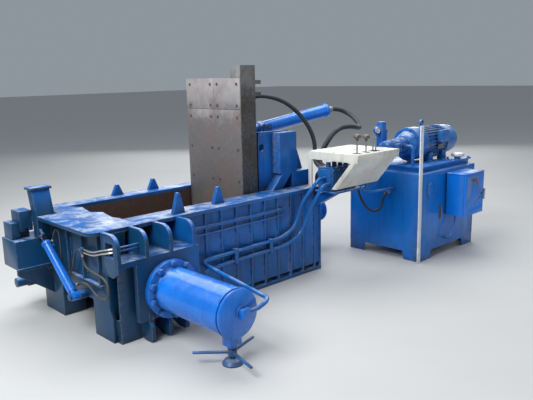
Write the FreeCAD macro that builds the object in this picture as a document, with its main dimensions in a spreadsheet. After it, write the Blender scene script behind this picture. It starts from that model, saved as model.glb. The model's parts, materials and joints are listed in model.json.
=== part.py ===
"""Recycling baler: scrap metal press with lid, side press, turn-out frame and hydraulic power unit.

Millimetres, +Z up.  X runs along the press from the bale end (X = 0) to the power unit, the operator
stands on the -Y side, and the floor is Z = 0.  Every size is named in SIZES, written to the sheet
"dim", and the shapes read it from there through expressions.
"""
import FreeCAD
import Part
import math
import os
import re

SIZES = {
    # press frame
    "rim_top": 730, "rim_thick": 25, "body_length": 2150, "end_face": 100, "chamber_front": 270,
    "rim_out": 516, "bore_near": -309, "bore_far": 375, "liner": 12, "side_plate": 30,
    "skin_out": 480, "skin": 12, "rib_out": 492, "rib": 14, "rib_pitch": 145, "rib_count": 10,
    "rib_start": 760, "chamber_floor": 178, "floor_plate": 28, "floor_liner": 12, "gap": 0.5,
    "cover_edge": 356, "post_notch": 150, "notch_edge": 209,
    # lid
    "lid_face": 1437, "hinge_x": 1502, "hinge_z": 600, "lid_top": 1630, "lid_back": 1601,
    "lid_near": -302, "lid_far": 368, "hook_top": 1726, "hook_width": 114, "lid_skin": 20,
    "wear_plate": 10, "hinge_tube": 45, "hinge_pin": 25,
    # rams and their cylinders
    "ram_low": 190.5, "ram_high": 524, "main_rest": 1460, "main_length": 430, "main_wall": 40,
    "axis_y": 33, "axis_z": 355, "main_barrel": 100, "main_rod": 45, "main_front": 1560,
    "main_end": 2690, "side_x": 440, "side_z": 323, "side_barrel": 145, "side_cap_y": -1366,
    "bracket_y": -700, "side_rod": 50, "side_ram_w": 330, "side_ram_len": 240,
    # tower and lid cylinder
    "tower_top": 1250, "trunnion_x": 1950, "trunnion_z": 1190, "lid_barrel": 58, "lid_rod": 28,
    "lug_x": 1640, "lug_z": 1150,
    # turn-out frame
    "turn_y": 545, "turn_z": 190, "turn_shaft": 35, "turn_barrel": 30, "turn_rod": 16,
    "turn_plane": 15, "turn_pin_y": 190, "turn_pin_z": 600, "turn_base_y": -227, "turn_base_z": 262,
    # power unit
    "tank_x": 2839, "tank_y": -1028, "tank_len": 932, "tank_wide": 759, "tank_top": 779,
    "tank_wall": 6, "leg_high": 78, "deck_high": 51, "motor_y": -700, "motor_z": 1000,
    "motor_r": 145, "filler_x": 3612, "filler_y": -935,
    "cab_x": 3250, "cab_w": 340, "cab_out": -1222, "cab_low": 365, "cab_high": 745,
    # operator stand
    "hood_x": 2010, "hood_w": 550, "hood_top": 1033, "hood_near": -989, "hood_back": -480,
    "hood_low_y": -775, "hood_low_z": 741, "hood_sheet": 4, "lever_y": -910, "lever_z": 985,
    # screw jack under the side cylinder
    "jack_y": -1295,
    # middle of the whole machine, which becomes the origin of the written files
    "origin_x": 1823, "origin_y": -461.14,
}

DOC = FreeCAD.newDocument("recycling_baler")
SHEET = DOC.addObject("Spreadsheet::Sheet", "dim")
for row, (name, value) in enumerate(SIZES.items(), start=1):
    SHEET.set("A%d" % row, name)
    SHEET.set("B%d" % row, str(value))
    SHEET.setAlias("B%d" % row, name)
DOC.recompute()
NODES = []


def value(text):
    """Number of a size expression such as "rim_top - 20"."""
    names = re.findall(r"[a-z][a-z_0-9]*", str(text))
    total = str(text)
    for word in sorted(set(names), key=len, reverse=True):
        total = re.sub(r"\b%s\b" % word, "(%r)" % float(SIZES[word]), total)
    return FreeCAD.Units.Quantity(total).Value


def bind(obj, prop, text):
    """Bind one property of an object to a size expression on the sheet."""
    obj.setExpression(prop, re.sub(r"\b([a-z][a-z_0-9]*)\b", r"dim.\1", str(text)))


def place(obj, x, y, z):
    bind(obj, "Placement.Base.x", x)
    bind(obj, "Placement.Base.y", y)
    bind(obj, "Placement.Base.z", z)


def box(x0, x1, y0, y1, z0, z1):
    """Block between two corners."""
    obj = DOC.addObject("Part::Box", "block")
    bind(obj, "Length", "(%s) - (%s)" % (x1, x0))
    bind(obj, "Width", "(%s) - (%s)" % (y1, y0))
    bind(obj, "Height", "(%s) - (%s)" % (z1, z0))
    place(obj, x0, y0, z0)
    return obj


TURNS = {"x": (FreeCAD.Vector(0, 1, 0), 90), "y": (FreeCAD.Vector(1, 0, 0), -90),
         "z": (FreeCAD.Vector(0, 0, 1), 0)}


def cyl(axis, x, y, z, radius, length):
    """Cylinder starting at a point and running along +axis."""
    obj = DOC.addObject("Part::Cylinder", "round")
    bind(obj, "Radius", radius)
    bind(obj, "Height", length)
    obj.Placement.Rotation = FreeCAD.Rotation(*TURNS[axis])
    place(obj, x, y, z)
    return obj


def cone(axis, x, y, z, r0, r1, length):
    obj = DOC.addObject("Part::Cone", "taper")
    bind(obj, "Radius1", r0)
    bind(obj, "Radius2", r1)
    bind(obj, "Height", length)
    obj.Placement.Rotation = FreeCAD.Rotation(*TURNS[axis])
    place(obj, x, y, z)
    return obj


def fuse(*parts):
    if len(parts) == 1:
        return parts[0]
    obj = DOC.addObject("Part::MultiFuse", "join")
    obj.Shapes = list(parts)
    obj.Refine = True
    return obj


def cut(base, *tools):
    obj = DOC.addObject("Part::Cut", "trim")
    obj.Base = base
    obj.Tool = fuse(*tools)
    obj.Refine = True
    return obj


def group(*parts):
    obj = DOC.addObject("Part::Compound", "set")
    obj.Links = list(parts)
    return obj


def node(label, obj):
    obj.Label = label
    NODES.append(obj)
    return obj


def slab(plane, outline, low, high, fillets=None):
    """Plate from an outline of expression pairs, padded between two levels along the plane's normal.

    plane "XY" pads along Z, "XZ" along Y, "YZ" along X; the outline pairs are (x, y), (x, z) or (y, z).
    """
    body = DOC.addObject("PartDesign::Body", "plate")
    sketch = DOC.addObject("Sketcher::SketchObject", "outline")
    body.addObject(sketch)
    origin = [o for o in body.Origin.OriginFeatures if o.Role == "%s_Plane" % plane][0]
    sketch.AttachmentSupport = (origin, "")
    sketch.MapMode = "FlatFace"
    points = rounded(outline, fillets or {})
    corner = [FreeCAD.Vector(p[0], p[1], 0) for p in points]
    for i, start in enumerate(corner):
        sketch.addGeometry(Part.LineSegment(start, corner[(i + 1) % len(corner)]), False)
    pad = DOC.addObject("PartDesign::Pad", "pad")
    body.addObject(pad)
    pad.Profile = sketch
    bind(pad, "Length", "(%s) - (%s)" % (high, low))
    # the XZ plane's normal points along -Y
    level = high if plane == "XZ" else low
    prop = {"XY": "z", "XZ": "y", "YZ": "x"}[plane]
    bind(body, "Placement.Base.%s" % prop, level)
    return body


def rounded(outline, fillets):
    """Corner points with the listed corners replaced by short chords of an arc."""
    flat = [(value(a), value(b)) for a, b in outline]
    out = []
    for i, here in enumerate(flat):
        if i not in fillets:
            out.append(here)
            continue
        radius = fillets[i]
        before = flat[i - 1]
        after = flat[(i + 1) % len(flat)]
        u = unit(before[0] - here[0], before[1] - here[1])
        v = unit(after[0] - here[0], after[1] - here[1])
        half = math.acos(max(-1, min(1, u[0] * v[0] + u[1] * v[1]))) / 2
        reach = radius / math.tan(half)
        w = unit(u[0] + v[0], u[1] + v[1])
        centre = (here[0] + w[0] * radius / math.sin(half), here[1] + w[1] * radius / math.sin(half))
        a0 = math.atan2(here[1] + u[1] * reach - centre[1], here[0] + u[0] * reach - centre[0])
        a1 = math.atan2(here[1] + v[1] * reach - centre[1], here[0] + v[0] * reach - centre[0])
        sweep = (a1 - a0 + math.pi) % (2 * math.pi) - math.pi
        for k in range(9):
            a = a0 + sweep * k / 8
            out.append((centre[0] + radius * math.cos(a), centre[1] + radius * math.sin(a)))
    return out


def unit(a, b):
    size = math.hypot(a, b)
    return (a / size, b / size)


def lathe(axis, x, y, z, profile):
    """Turned part: profile pairs are (radius, distance along +axis) from the given point."""
    body = DOC.addObject("PartDesign::Body", "turned")
    sketch = DOC.addObject("Sketcher::SketchObject", "profile")
    body.addObject(sketch)
    origin = [o for o in body.Origin.OriginFeatures if o.Role == "XZ_Plane"][0]
    sketch.AttachmentSupport = (origin, "")
    sketch.MapMode = "FlatFace"
    corner = [FreeCAD.Vector(value(r), value(d), 0) for r, d in profile]
    for i, start in enumerate(corner):
        sketch.addGeometry(Part.LineSegment(start, corner[(i + 1) % len(corner)]), False)
    turn = DOC.addObject("PartDesign::Revolution", "turn")
    body.addObject(turn)
    turn.Profile = sketch
    turn.ReferenceAxis = (sketch, ["V_Axis"])
    turn.Angle = 360
    body.Placement.Rotation = FreeCAD.Rotation(*TURNS[axis])
    place(body, x, y, z)
    return body


def swing(obj, axis, degrees, centre):
    """Copy-free turn of an object about a line through a centre."""
    middle = FreeCAD.Vector(*[value(c) for c in centre])
    turn = FreeCAD.Rotation(FreeCAD.Vector(*axis), degrees)
    move = FreeCAD.Placement(middle - turn.multVec(middle), turn)
    turned = group(obj)
    turned.Placement = move
    return turned


def tube(points, diameter):
    """Round hose or pipe: straight runs joined by tangent arcs through the given corner points."""
    route = [FreeCAD.Vector(*[value(c) for c in p]) for p in points]
    edges = []
    start = route[0]
    for i in range(1, len(route) - 1):
        before = route[i - 1] - route[i]
        after = route[i + 1] - route[i]
        turn = math.pi - before.getAngle(after)
        reach = 0.45 * min(before.Length, after.Length)
        radius = reach / math.tan(turn / 2)
        ROUTES.append((round(radius, 1), value(diameter)))
        a = route[i] + before.normalize() * reach
        b = route[i] + after.normalize() * reach
        bisect = (before + after).normalize()
        middle = route[i] + bisect * (radius / math.cos(turn / 2) - radius)
        edges.append(Part.makeLine(start, a))
        edges.append(Part.Arc(a, middle, b).toShape())
        start = b
    edges.append(Part.makeLine(start, route[-1]))
    wire = Part.Wire(edges)
    tangent = (route[1] - route[0]).normalize()
    ring = Part.Wire([Part.makeCircle(value(diameter) / 2, route[0], tangent)])
    obj = DOC.addObject("Part::Feature", "tube")
    obj.Shape = wire.makePipeShell([ring], True, False)
    return obj


ROUTES = []


def hexagon(axis, x, y, z, across, length):
    """Hexagon prism along +axis, for bolt heads and nuts."""
    obj = DOC.addObject("Part::Prism", "hexagon")
    obj.Polygon = 6
    bind(obj, "Circumradius", "(%s) / 1.732" % across)
    bind(obj, "Height", length)
    obj.Placement.Rotation = FreeCAD.Rotation(*TURNS[axis])
    place(obj, x, y, z)
    return obj


def around(count, radius, start=0):
    """Offsets of points spaced round a circle."""
    step = 2 * math.pi / count
    return [(radius * math.cos(start + k * step), radius * math.sin(start + k * step))
            for k in range(count)]


# ---------------------------------------------------------------- press frame
def side_wall(side):
    """Near (side -1) or far (+1) chamber wall: inner plate, skin, ribs, rim flange and foot flange."""
    near = side < 0
    inner = ("bore_near - liner - side_plate", "bore_near - liner") if near else \
            ("bore_far + liner", "bore_far + liner + side_plate")
    skin = ("-skin_out", "skin - skin_out") if near else ("skin_out - skin", "skin_out")
    rib = ("-rib_out", inner[0]) if near else (inner[1], "rib_out")
    rim = ("-rim_out", "bore_near") if near else ("bore_far", "rim_out")
    rim_start = "cover_edge" if near else "cover_edge - 43"
    under = "rim_top - rim_thick"
    parts = [
        box("chamber_front", "body_length", inner[0], inner[1], 0, under),
        box(700, "body_length", skin[0], skin[1], 60, under),
        box(rim_start, "body_length", rim[0], rim[1], under, "rim_top"),
        box(700, "body_length", rib[0], rib[1], 0, 25),
        box(700, "700 + rib", rib[0], rib[1], 0, under),
        box("body_length - rib", "body_length", rib[0], rib[1], 0, under),
    ]
    for k in range(SIZES["rib_count"]):
        start = "rib_start + %d * rib_pitch" % k
        parts.append(box(start, start + " + rib", rib[0], rib[1], 25, under))
    if near:
        parts.append(box(700, 1700, "-505", "-skin_out", 592, 610))
        parts.append(box(700, 1700, "-498", "-skin_out", 545, 556))
    window = box("side_x - side_ram_w / 2 - gap", "side_x + side_ram_w / 2 + gap",
                 inner[0], inner[1], "ram_low - gap", "ram_high + gap")
    hole = cyl("y", "hinge_x", inner[0], "hinge_z", "hinge_pin + 0.05", "side_plate")
    return cut(fuse(*parts), window, hole)


def side_liner(side):
    edge = ("bore_near - liner", "bore_near") if side < 0 else ("bore_far", "bore_far + liner")
    plate = box("chamber_front", 1920, edge[0], edge[1], "chamber_floor", "rim_top - rim_thick")
    window = box("side_x - side_ram_w / 2 - gap", "side_x + side_ram_w / 2 + gap",
                 edge[0], edge[1], "ram_low - gap", "ram_high + gap")
    hole = cyl("y", "hinge_x", edge[0], "hinge_z", "hinge_pin + 0.05", "liner")
    return cut(plate, window, hole)


node("near_wall", side_wall(-1))
node("far_wall", side_wall(1))
node("floor_frame", fuse(
    box("chamber_front", "body_length", "bore_near - liner", "bore_far + liner",
        "chamber_floor - floor_plate", "chamber_floor"),
    *[box(x, x + 100, "bore_near - liner", "bore_far + liner", 0, "chamber_floor - floor_plate")
      for x in (700, 1250, 1800)]))
COVER = [(0, "-rim_out"), ("cover_edge", "-rim_out"), ("cover_edge", -265), ("cover_edge - 16", -202),
         ("cover_edge + 22", -11), ("cover_edge - 37", 61), ("cover_edge + 8", 264),
         ("cover_edge - 43", 350), ("cover_edge - 43", "rim_out"), ("post_notch", "rim_out"),
         ("post_notch", "notch_edge"), (0, "notch_edge")]
node("cover_plate", slab("XY", COVER, "rim_top - rim_thick", "rim_top", {0: 75}))
node("chamber_liners", group(
    side_liner(-1), side_liner(1),
    box("chamber_front", 1920, "bore_near", "bore_far", "chamber_floor",
        "chamber_floor + floor_liner"),
    fuse(box("chamber_front", 460, -170, "bore_far", 535, 590),
         box("chamber_front", 360, "bore_near", -170, 535, 590),
         box("chamber_front", "chamber_front + 30", "bore_near", "bore_far", 590,
             "rim_top - rim_thick"))))
END_PLATE = [(-516, 705), (419, 705), (419, 0), (128, 0), (128, 240), (-311, 240), (-311, 0),
             (-547, 0), (-547, 160), (-516, 220)]
node("end_frame", fuse(
    slab("YZ", END_PLATE, "end_face", "end_face + 25"),
    box("end_face + 25", "chamber_front", 128, 419, 0, 200),
    box("end_face + 25", 245, -516, -311, 0, 200),
    box("chamber_front - 25", "chamber_front", -321, 387, 150, 705),
    *[box("end_face + 25", "chamber_front - 25", y, y + 14, 200, 705)
      for y in (-516, -328, -150, 40, 230, 405)],
    *[box("end_face - 28", "end_face", y, y + 14, 372, 690) for y in (-470, -262, -60)],
    box("end_face - 28", "end_face", -479, -46, 356, 372)))


def guide(x, y0, y1, tip):
    """Tapered lug on a rim that leads the closing lid in."""
    outline = [(x, 730), (x + 100, 730), (x + 62, 730 + tip), (x + 42, 730 + tip)]
    return slab("XZ", outline, y0, y1, {2: 9, 3: 9})


node("lid_guides", group(guide(655, -470, -440, 145), guide(1050, -420, -390, 125),
                         guide(738, 470, 500, 84), guide(1078, 470, 500, 88)))

# ---------------------------------------------------------------- side press
RIB_X = (86, 273, 453, 637)


def bracket_rib(x):
    outline = [(-351, 560), (-351, 705), (-516, 705), (-516, 728), (-700, 728), (-700, 560)]
    return slab("YZ", outline, x, x + 25, {4: 80})


def foot(x, low):
    outline = [(-560, 150), (-560, low + 30), (-640, low), (-722, low), (-722, 105), (-700, 130),
               (-700, 150)]
    return slab("YZ", outline, x, x + 26, {3: 26})


rib_one = cut(slab("YZ", [(-516, 460), (-516, 728), (-700, 728), (-700, 500), (-640, 460)],
                   74, 100, {2: 80}),
              box(74, 100, -655, -562, 585, 675))
WINDOW = ("side_x - side_ram_w / 2 - gap", "side_x + side_ram_w / 2 + gap")
HOUSING = cut(
    fuse(box(271, 662, -700, -351, "ram_high + gap", 560),
         box(100, 271, -700, -547, "ram_high + gap", 560),
         box("side_x - side_ram_w / 2 - 30", WINDOW[0], -665, -351, 150, "ram_high + gap"),
         box(WINDOW[1], "side_x + side_ram_w / 2 + 30", -665, -351, 150, "ram_high + gap"),
         box("side_x - side_ram_w / 2 - 30", "side_x + side_ram_w / 2 + 30", -665, -351, 150,
             "ram_low - gap"),
         box(200, 680, -700, -665, 150, 560),
         box(125, 285, -600, -588, 150, 540),
         box(271, 300, -560, -351, 0, 150)),
    cyl("y", "side_x", -700, "side_z", "side_rod + 0.08", 40))
node("side_bracket", fuse(rib_one, HOUSING, box(125, 271, -600, -547, 0, 150),
                          foot(271, 0), foot(402, 8), foot(536, 16),
                          *[bracket_rib(x) for x in RIB_X[1:]]))
SIDE_END = "side_cap_y + 36"
SIDE_BARREL = cut(
    fuse(cyl("y", "side_x", SIDE_END, "side_z", "side_barrel", "-740 - (side_cap_y + 36)"),
         cyl("y", "side_x", -740, "side_z", 190, 40),
         cyl("x", "side_x + side_barrel - 8", -790, "side_z", 24, 30)),
    cyl("y", "side_x", SIDE_END, "side_z", "side_barrel - 25", "-770 - (side_cap_y + 36)"),
    cyl("y", "side_x", -770, "side_z", "side_rod + 0.08", 70))
SIDE_CAP = fuse(
    lathe("y", "side_x", "side_cap_y", "side_z",
          [(0, 0), ("side_barrel - 8", 0), ("side_barrel + 3", 8), ("side_barrel + 3", 16),
           ("side_barrel - 3", 22), ("side_barrel - 3", 36), (0, 36)]),
    cyl("y", 455, "side_cap_y - 12", 334, 38, 12),
    box(425, 485, "side_cap_y - 50", "side_cap_y - 12", 306, 362))
node("side_bolts", group(*[
    fuse(hexagon("y", "side_x + %.3f" % a, -764, "side_z + %.3f" % b, 38, 16),
         cyl("y", "side_x + %.3f" % a, -748, "side_z + %.3f" % b, 21, 8))
    for a, b in around(10, 168.5, 0.31)]))
node("side_ram", fuse(
    cut(box("side_x - side_ram_w / 2", "side_x + side_ram_w / 2", "-310 - side_ram_len", -310,
            "ram_low", "ram_high"),
        box("side_x - side_ram_w / 2 + 35", "side_x + side_ram_w / 2 - 35", "-310 - side_ram_len",
            -370, "ram_low + 35", "ram_high - 35")),
    cyl("y", "side_x", -1290, "side_z", "side_rod", "1290 - 370"),
    cyl("y", "side_x", -1310, "side_z", "side_barrel - 25.3", 70)))

# ---------------------------------------------------------------- main ram and cylinder
node("rear_frame", fuse(
    cut(box(2100, "body_length", "bore_near - liner", "bore_far + liner", "chamber_floor", 705),
        cyl("x", 2100, "axis_y", "axis_z", "main_barrel", 50)),
    box(1625, 2100, "bore_near", "bore_far", 690, 705)))
MAIN_BARREL = cut(
    fuse(cyl("x", "main_front", "axis_y", "axis_z", "main_barrel", "main_end - main_front"),
         cyl("x", "body_length", "axis_y", "axis_z", "main_barrel + 60", 34),
         cyl("z", 2640, "axis_y", "axis_z + main_barrel - 12", 26, 34)),
    cyl("x", "main_front", "axis_y", "axis_z", "main_rod + 0.08", 60),
    cyl("x", "main_front + 60", "axis_y", "axis_z", "main_barrel - 22",
        "main_end - main_front - 60"))
MAIN_CAP = lathe("x", "main_end", "axis_y", "axis_z",
                 [(0, 0), ("main_barrel + 14", 0), ("main_barrel + 14", 20),
                  ("main_barrel + 2", 30), (0, 30)])
node("main_cylinder", group(MAIN_BARREL, MAIN_CAP, *[
    hexagon("x", "body_length + 34", "axis_y + %.3f" % a, "axis_z + %.3f" % b, 30, 16)
    for a, b in around(8, 132)]))
node("main_ram", fuse(
    cut(box("main_rest", "main_rest + main_length", "bore_near + gap", "bore_far - gap",
            "ram_low", "ram_high"),
        box("main_rest + 60", "main_rest + main_length", "bore_near + gap + main_wall",
            "bore_far - gap - main_wall", "ram_low + main_wall", "ram_high - main_wall")),
    cyl("x", "main_rest + 60", "axis_y", "axis_z", "main_rod", "2600 - main_rest - 60"),
    cyl("x", 2560, "axis_y", "axis_z", "main_barrel - 22.3", 70)))

# ---------------------------------------------------------------- lid
LID_BACK = "lid_face + wear_plate + lid_skin"
node("lid_frame", cut(
    fuse(box("lid_face + wear_plate", LID_BACK, "lid_near", "lid_far", 560, "lid_top"),
         *[box(LID_BACK, "lid_back", y, "(%s) + 25" % y, 560, "lid_top")
           for y in ("lid_near", "lid_near + 89", "lid_far - 114", "lid_far - 25")],
         *[box(LID_BACK, "lid_back - 12", "lid_near + 25", "lid_far - 25", z, z + 20)
           for z in (700, 860, 1430, 1590)],
         box(LID_BACK, "lid_back - 50", "lid_near + 114", "lid_far - 114", 1370, 1430),
         box("lid_face + wear_plate", "lid_back", "lid_near", "lid_near + hook_width", "lid_top",
             "hook_top"),
         cyl("y", "hinge_x", "lid_near", "hinge_z", "hinge_tube", "lid_far - lid_near"),
         box(LID_BACK, 1640, 15, 51, 1094, 1220),
         cyl("y", "lug_x", 15, "lug_z", 48, 36),
         *[box("lid_back", "lid_back + 60", "lid_near", "lid_near + 25", z, z + 30)
           for z in (1490, 1582)]),
    cyl("y", "hinge_x", "lid_near", "hinge_z", "hinge_pin + 0.08", "lid_far - lid_near")))
SEAM_Z = 1390
SEAM_Y = 12
node("lid_wear_plates", group(
    box("lid_face", "lid_face + wear_plate", "lid_near", SEAM_Y - 1, SEAM_Z + 1, "lid_top"),
    box("lid_face", "lid_face + wear_plate", SEAM_Y + 1, "lid_far", SEAM_Z + 1, "lid_top"),
    box("lid_face", "lid_face + wear_plate", "lid_near", "lid_far", 564, SEAM_Z - 1)))
node("lid_bolts", group(*[
    cone("x", "lid_face - 4", y, z, 9, 13, 4)
    for y in (-265, -30, 55, 320) for z in (1420, 1585, 1330, 1080, 830)]))
node("hinge_pin", cyl("y", "hinge_x", "bore_near - liner - side_plate", "hinge_z", "hinge_pin",
                      "bore_far - bore_near + 2 * liner + 2 * side_plate"))

# ---------------------------------------------------------------- tower and lid cylinder
TOWER_PLATE = [(1630, 705), (2140, 705), (2140, 858), (2114, 930), (2078, 1019), (1972, 1196),
               (1640, 1205), (1626, 1120)]
TOWER_COLUMN = fuse(
    box(1790, 1985, -372, -290, 858, 1190),
    slab("XZ", [(1700, 730), (1810, 730), (1930, 858), (1820, 858)], -372, -291),
    box(1930, 2140, -372, -290, 730, 858))
node("lid_tower", fuse(
    *[cut(slab("XZ", TOWER_PLATE, y, y + 25), cyl("y", 1665, y, 1076, 30, 25))
      for y in (-290, 331)],
    TOWER_COLUMN, box(1790, 1815, -265, -60, 705, 1090), box(1790, 1815, 126, 331, 705, 1090),
    *[cut(slab("XZ", [(1790, 705), (2080, 705), (2010, 1238), (1890, 1238)], y, y + 25,
               {2: 30, 3: 30}),
          cyl("y", "trunnion_x", y, "trunnion_z", 30.1, 25)) for y in (-60, 101)]))
LID_AXIS = math.degrees(math.atan2(SIZES["trunnion_z"] - SIZES["lug_z"],
                                   SIZES["trunnion_x"] - SIZES["lug_x"]))
PIVOT = ("trunnion_x", "axis_y", "trunnion_z")


def lid_line(x0, radius, length):
    """Round along the lid cylinder's line, x0 measured from the trunnion before the tilt."""
    return cyl("x", "trunnion_x + (%s)" % x0, "axis_y", "trunnion_z", radius, length)


def lid_tilt(obj):
    return swing(obj, (0, 1, 0), -LID_AXIS, PIVOT)


LID_REACH = math.hypot(SIZES["trunnion_z"] - SIZES["lug_z"], SIZES["trunnion_x"] - SIZES["lug_x"])
GLAND = -205
BARREL_BACK = 860
node("lid_barrel", fuse(
    lid_tilt(cut(fuse(lid_line(GLAND, "lid_barrel", BARREL_BACK - GLAND),
                      lid_line(GLAND, "lid_barrel + 7", 40),
                      lid_line(BARREL_BACK, "lid_barrel + 5", 24),
                      lid_line(BARREL_BACK + 20, 22, 24),
                      cyl("z", "trunnion_x - 140", "axis_y", "trunnion_z + 50", 22, 22),
                      cyl("y", "trunnion_x", "axis_y - 92", "trunnion_z", 30, 184),
                      lid_line(-30, "lid_barrel + 8", 60)),
                 lid_line(GLAND, "lid_rod + 0.08", 60),
                 lid_line(GLAND + 60, "lid_barrel - 10", BARREL_BACK - GLAND - 60)))))
EYE = -LID_REACH
node("lid_rod", lid_tilt(fuse(
    lid_line(EYE + 78, "lid_rod", 780 - EYE - 78),
    lid_line(760, "lid_barrel - 10.3", 50),
    box("trunnion_x + %.3f" % (EYE + 62), "trunnion_x + %.3f" % (EYE + 92), -9, 75,
        "trunnion_z - 34", "trunnion_z + 34"),
    *[fuse(box("trunnion_x + %.3f" % EYE, "trunnion_x + %.3f" % (EYE + 62), y, y + 22,
               "trunnion_z - 34", "trunnion_z + 34"),
           cyl("y", "trunnion_x + %.3f" % EYE, y, "trunnion_z", 34, 22)) for y in (-9, 53)])))

# ---------------------------------------------------------------- turn-out frame
TURN_BEARINGS = [
    cut(slab("YZ", [(y0, 60), (600, 120), (600, 260), (y0, 330)], x, x + 40, {1: 20, 2: 50}),
        cyl("x", x, "turn_y", "turn_z", "turn_shaft + 0.08", 40))
    for x, y0 in ((150, 419), (650, 417))]
ARM = [(590, 150), (590, 250), (462, 470), (462, 340), (505, 150)]
TURN_ARM = cut(slab("YZ", ARM, 20, 80, {0: 40, 1: 40, 4: 30}),
               cyl("x", 20, "turn_y", "turn_z", "turn_shaft", 60))
node("turn_bucket", fuse(
    cut(box(-158, 95, 230, 462, 373, 575), box(-150, 87, 238, 454, 381, 567)),
    slab("XZ", [(-158, 373), (-158, 332), (95, 150), (95, 373)], 240, 256),
    box(-164, 98, 224, 230, 365, 381)))
POST = [(213, 575), (213, 712), (266, 905), (338, 905), (285, 712), (285, 575)]
TURN_POST = fuse(slab("YZ", POST, 0, 94),
                       slab("YZ", [(213, 712), (266, 905), (338, 905), (285, 712)], 94, 130),
                       slab("YZ", [(213, 575), (172, 588), (172, 612), (213, 640)],
                            "turn_plane - 8", "turn_plane + 8", {1: 10, 2: 10}))
TURN_CAP = slab("YZ", [(252, 905), (352, 905), (352, 921), (252, 921)], -12, 142)
TURN_HOOK = fuse(
    box(-92, -2, 288, 420, 650, 765),
    box(-92, -62, 288, 330, 625, 650), box(-30, -2, 288, 330, 625, 650),
    box(-80, -14, 330, 420, 575, 650))
TURN_BLOCK = fuse(box(-148, -96, 300, 430, 600, 690), box(-148, -92, 300, 430, 575, 600),
                  box(-96, -92, 340, 400, 600, 650))
node("turn_frame", group(TURN_ARM, TURN_POST, TURN_CAP, TURN_HOOK, TURN_BLOCK,
                         cyl("x", -60, "turn_y", "turn_z", "turn_shaft", 780)))
node("turn_door", fuse(
    slab("YZ", [("bore_far + 1", "ram_low + 2"), (412, "ram_low + 2"), (412, "ram_high - 3"),
                ("bore_far + 1", "ram_high - 21")],
         "side_x - side_ram_w / 2 + 2", "side_x + side_ram_w / 2 - 2"),
    *[cut(slab("YZ", [(412, 430), (412, 200), (505, 150), (590, 150), (590, 250), (440, 430)],
               x, x + 26, {3: 40, 4: 40}),
          cyl("x", x, "turn_y", "turn_z", "turn_shaft", 26)) for x in (310, 545)]))
DY = SIZES["turn_pin_y"] - SIZES["turn_base_y"]
DZ = SIZES["turn_pin_z"] - SIZES["turn_base_z"]
TURN_REACH = math.hypot(DY, DZ)
TURN_ANGLE = math.degrees(math.atan2(DZ, DY))
BASE = ("turn_plane", "turn_base_y", "turn_base_z")


def turn_line(start, radius, length):
    """Round along the turn-out cylinder, measured from its base pin before the tilt."""
    return cyl("y", "turn_plane", "turn_base_y + (%s)" % start, "turn_base_z", radius, length)


def turn_tilt(obj):
    return swing(obj, (1, 0, 0), TURN_ANGLE, BASE)


EYE_HALF = 28
node("turn_barrel", turn_tilt(cut(
    fuse(turn_line(34, "turn_barrel", 432),
         turn_line(444, "turn_barrel + 4", 22),
         cyl("x", "turn_plane - 28", "turn_base_y", "turn_base_z", 28, 2 * EYE_HALF),
         turn_line(0, 22, 40),
         box("turn_plane + 20", 55, "turn_base_y + 80", "turn_base_y + 104", "turn_base_z - 12",
             "turn_base_z + 12"),
         box("turn_plane + 20", 55, "turn_base_y + 420", "turn_base_y + 444", "turn_base_z - 12",
             "turn_base_z + 12")),
    cyl("x", "turn_plane - 28", "turn_base_y", "turn_base_z", 14.08, 2 * EYE_HALF),
    turn_line(60, "turn_barrel - 6", 370),
    turn_line(430, "turn_rod + 0.08", 40))))
node("turn_rod", turn_tilt(fuse(
    turn_line(80, "turn_barrel - 6.3", 30),
    turn_line(110, "turn_rod", TURN_REACH - 55 - 110),
    *[fuse(box("turn_plane + (%s)" % x, "turn_plane + (%s)" % (x + 9),
               "turn_base_y + %.3f" % (TURN_REACH - 46), "turn_base_y + %.3f" % TURN_REACH,
               "turn_base_z - 12", "turn_base_z + 12"),
           cyl("x", "turn_plane + (%s)" % x, "turn_base_y + %.3f" % TURN_REACH, "turn_base_z",
               12, 9)) for x in (-18, 9)],
    box("turn_plane - 18", "turn_plane + 18", "turn_base_y + %.3f" % (TURN_REACH - 60),
        "turn_base_y + %.3f" % (TURN_REACH - 46), "turn_base_z - 16", "turn_base_z + 16"))))
TURN_BASE = fuse(
    cyl("x", "turn_plane + 28.3", "turn_base_y", "turn_base_z", 30,
        "end_face - turn_plane - 28.3"),
    cyl("x", "turn_plane - 40", "turn_base_y", "turn_base_z", 14, 90),
    cyl("x", "turn_plane - 40", "turn_base_y", "turn_base_z", 24, 11.7))
node("turn_mounts", group(TURN_BASE, *TURN_BEARINGS))

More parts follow.
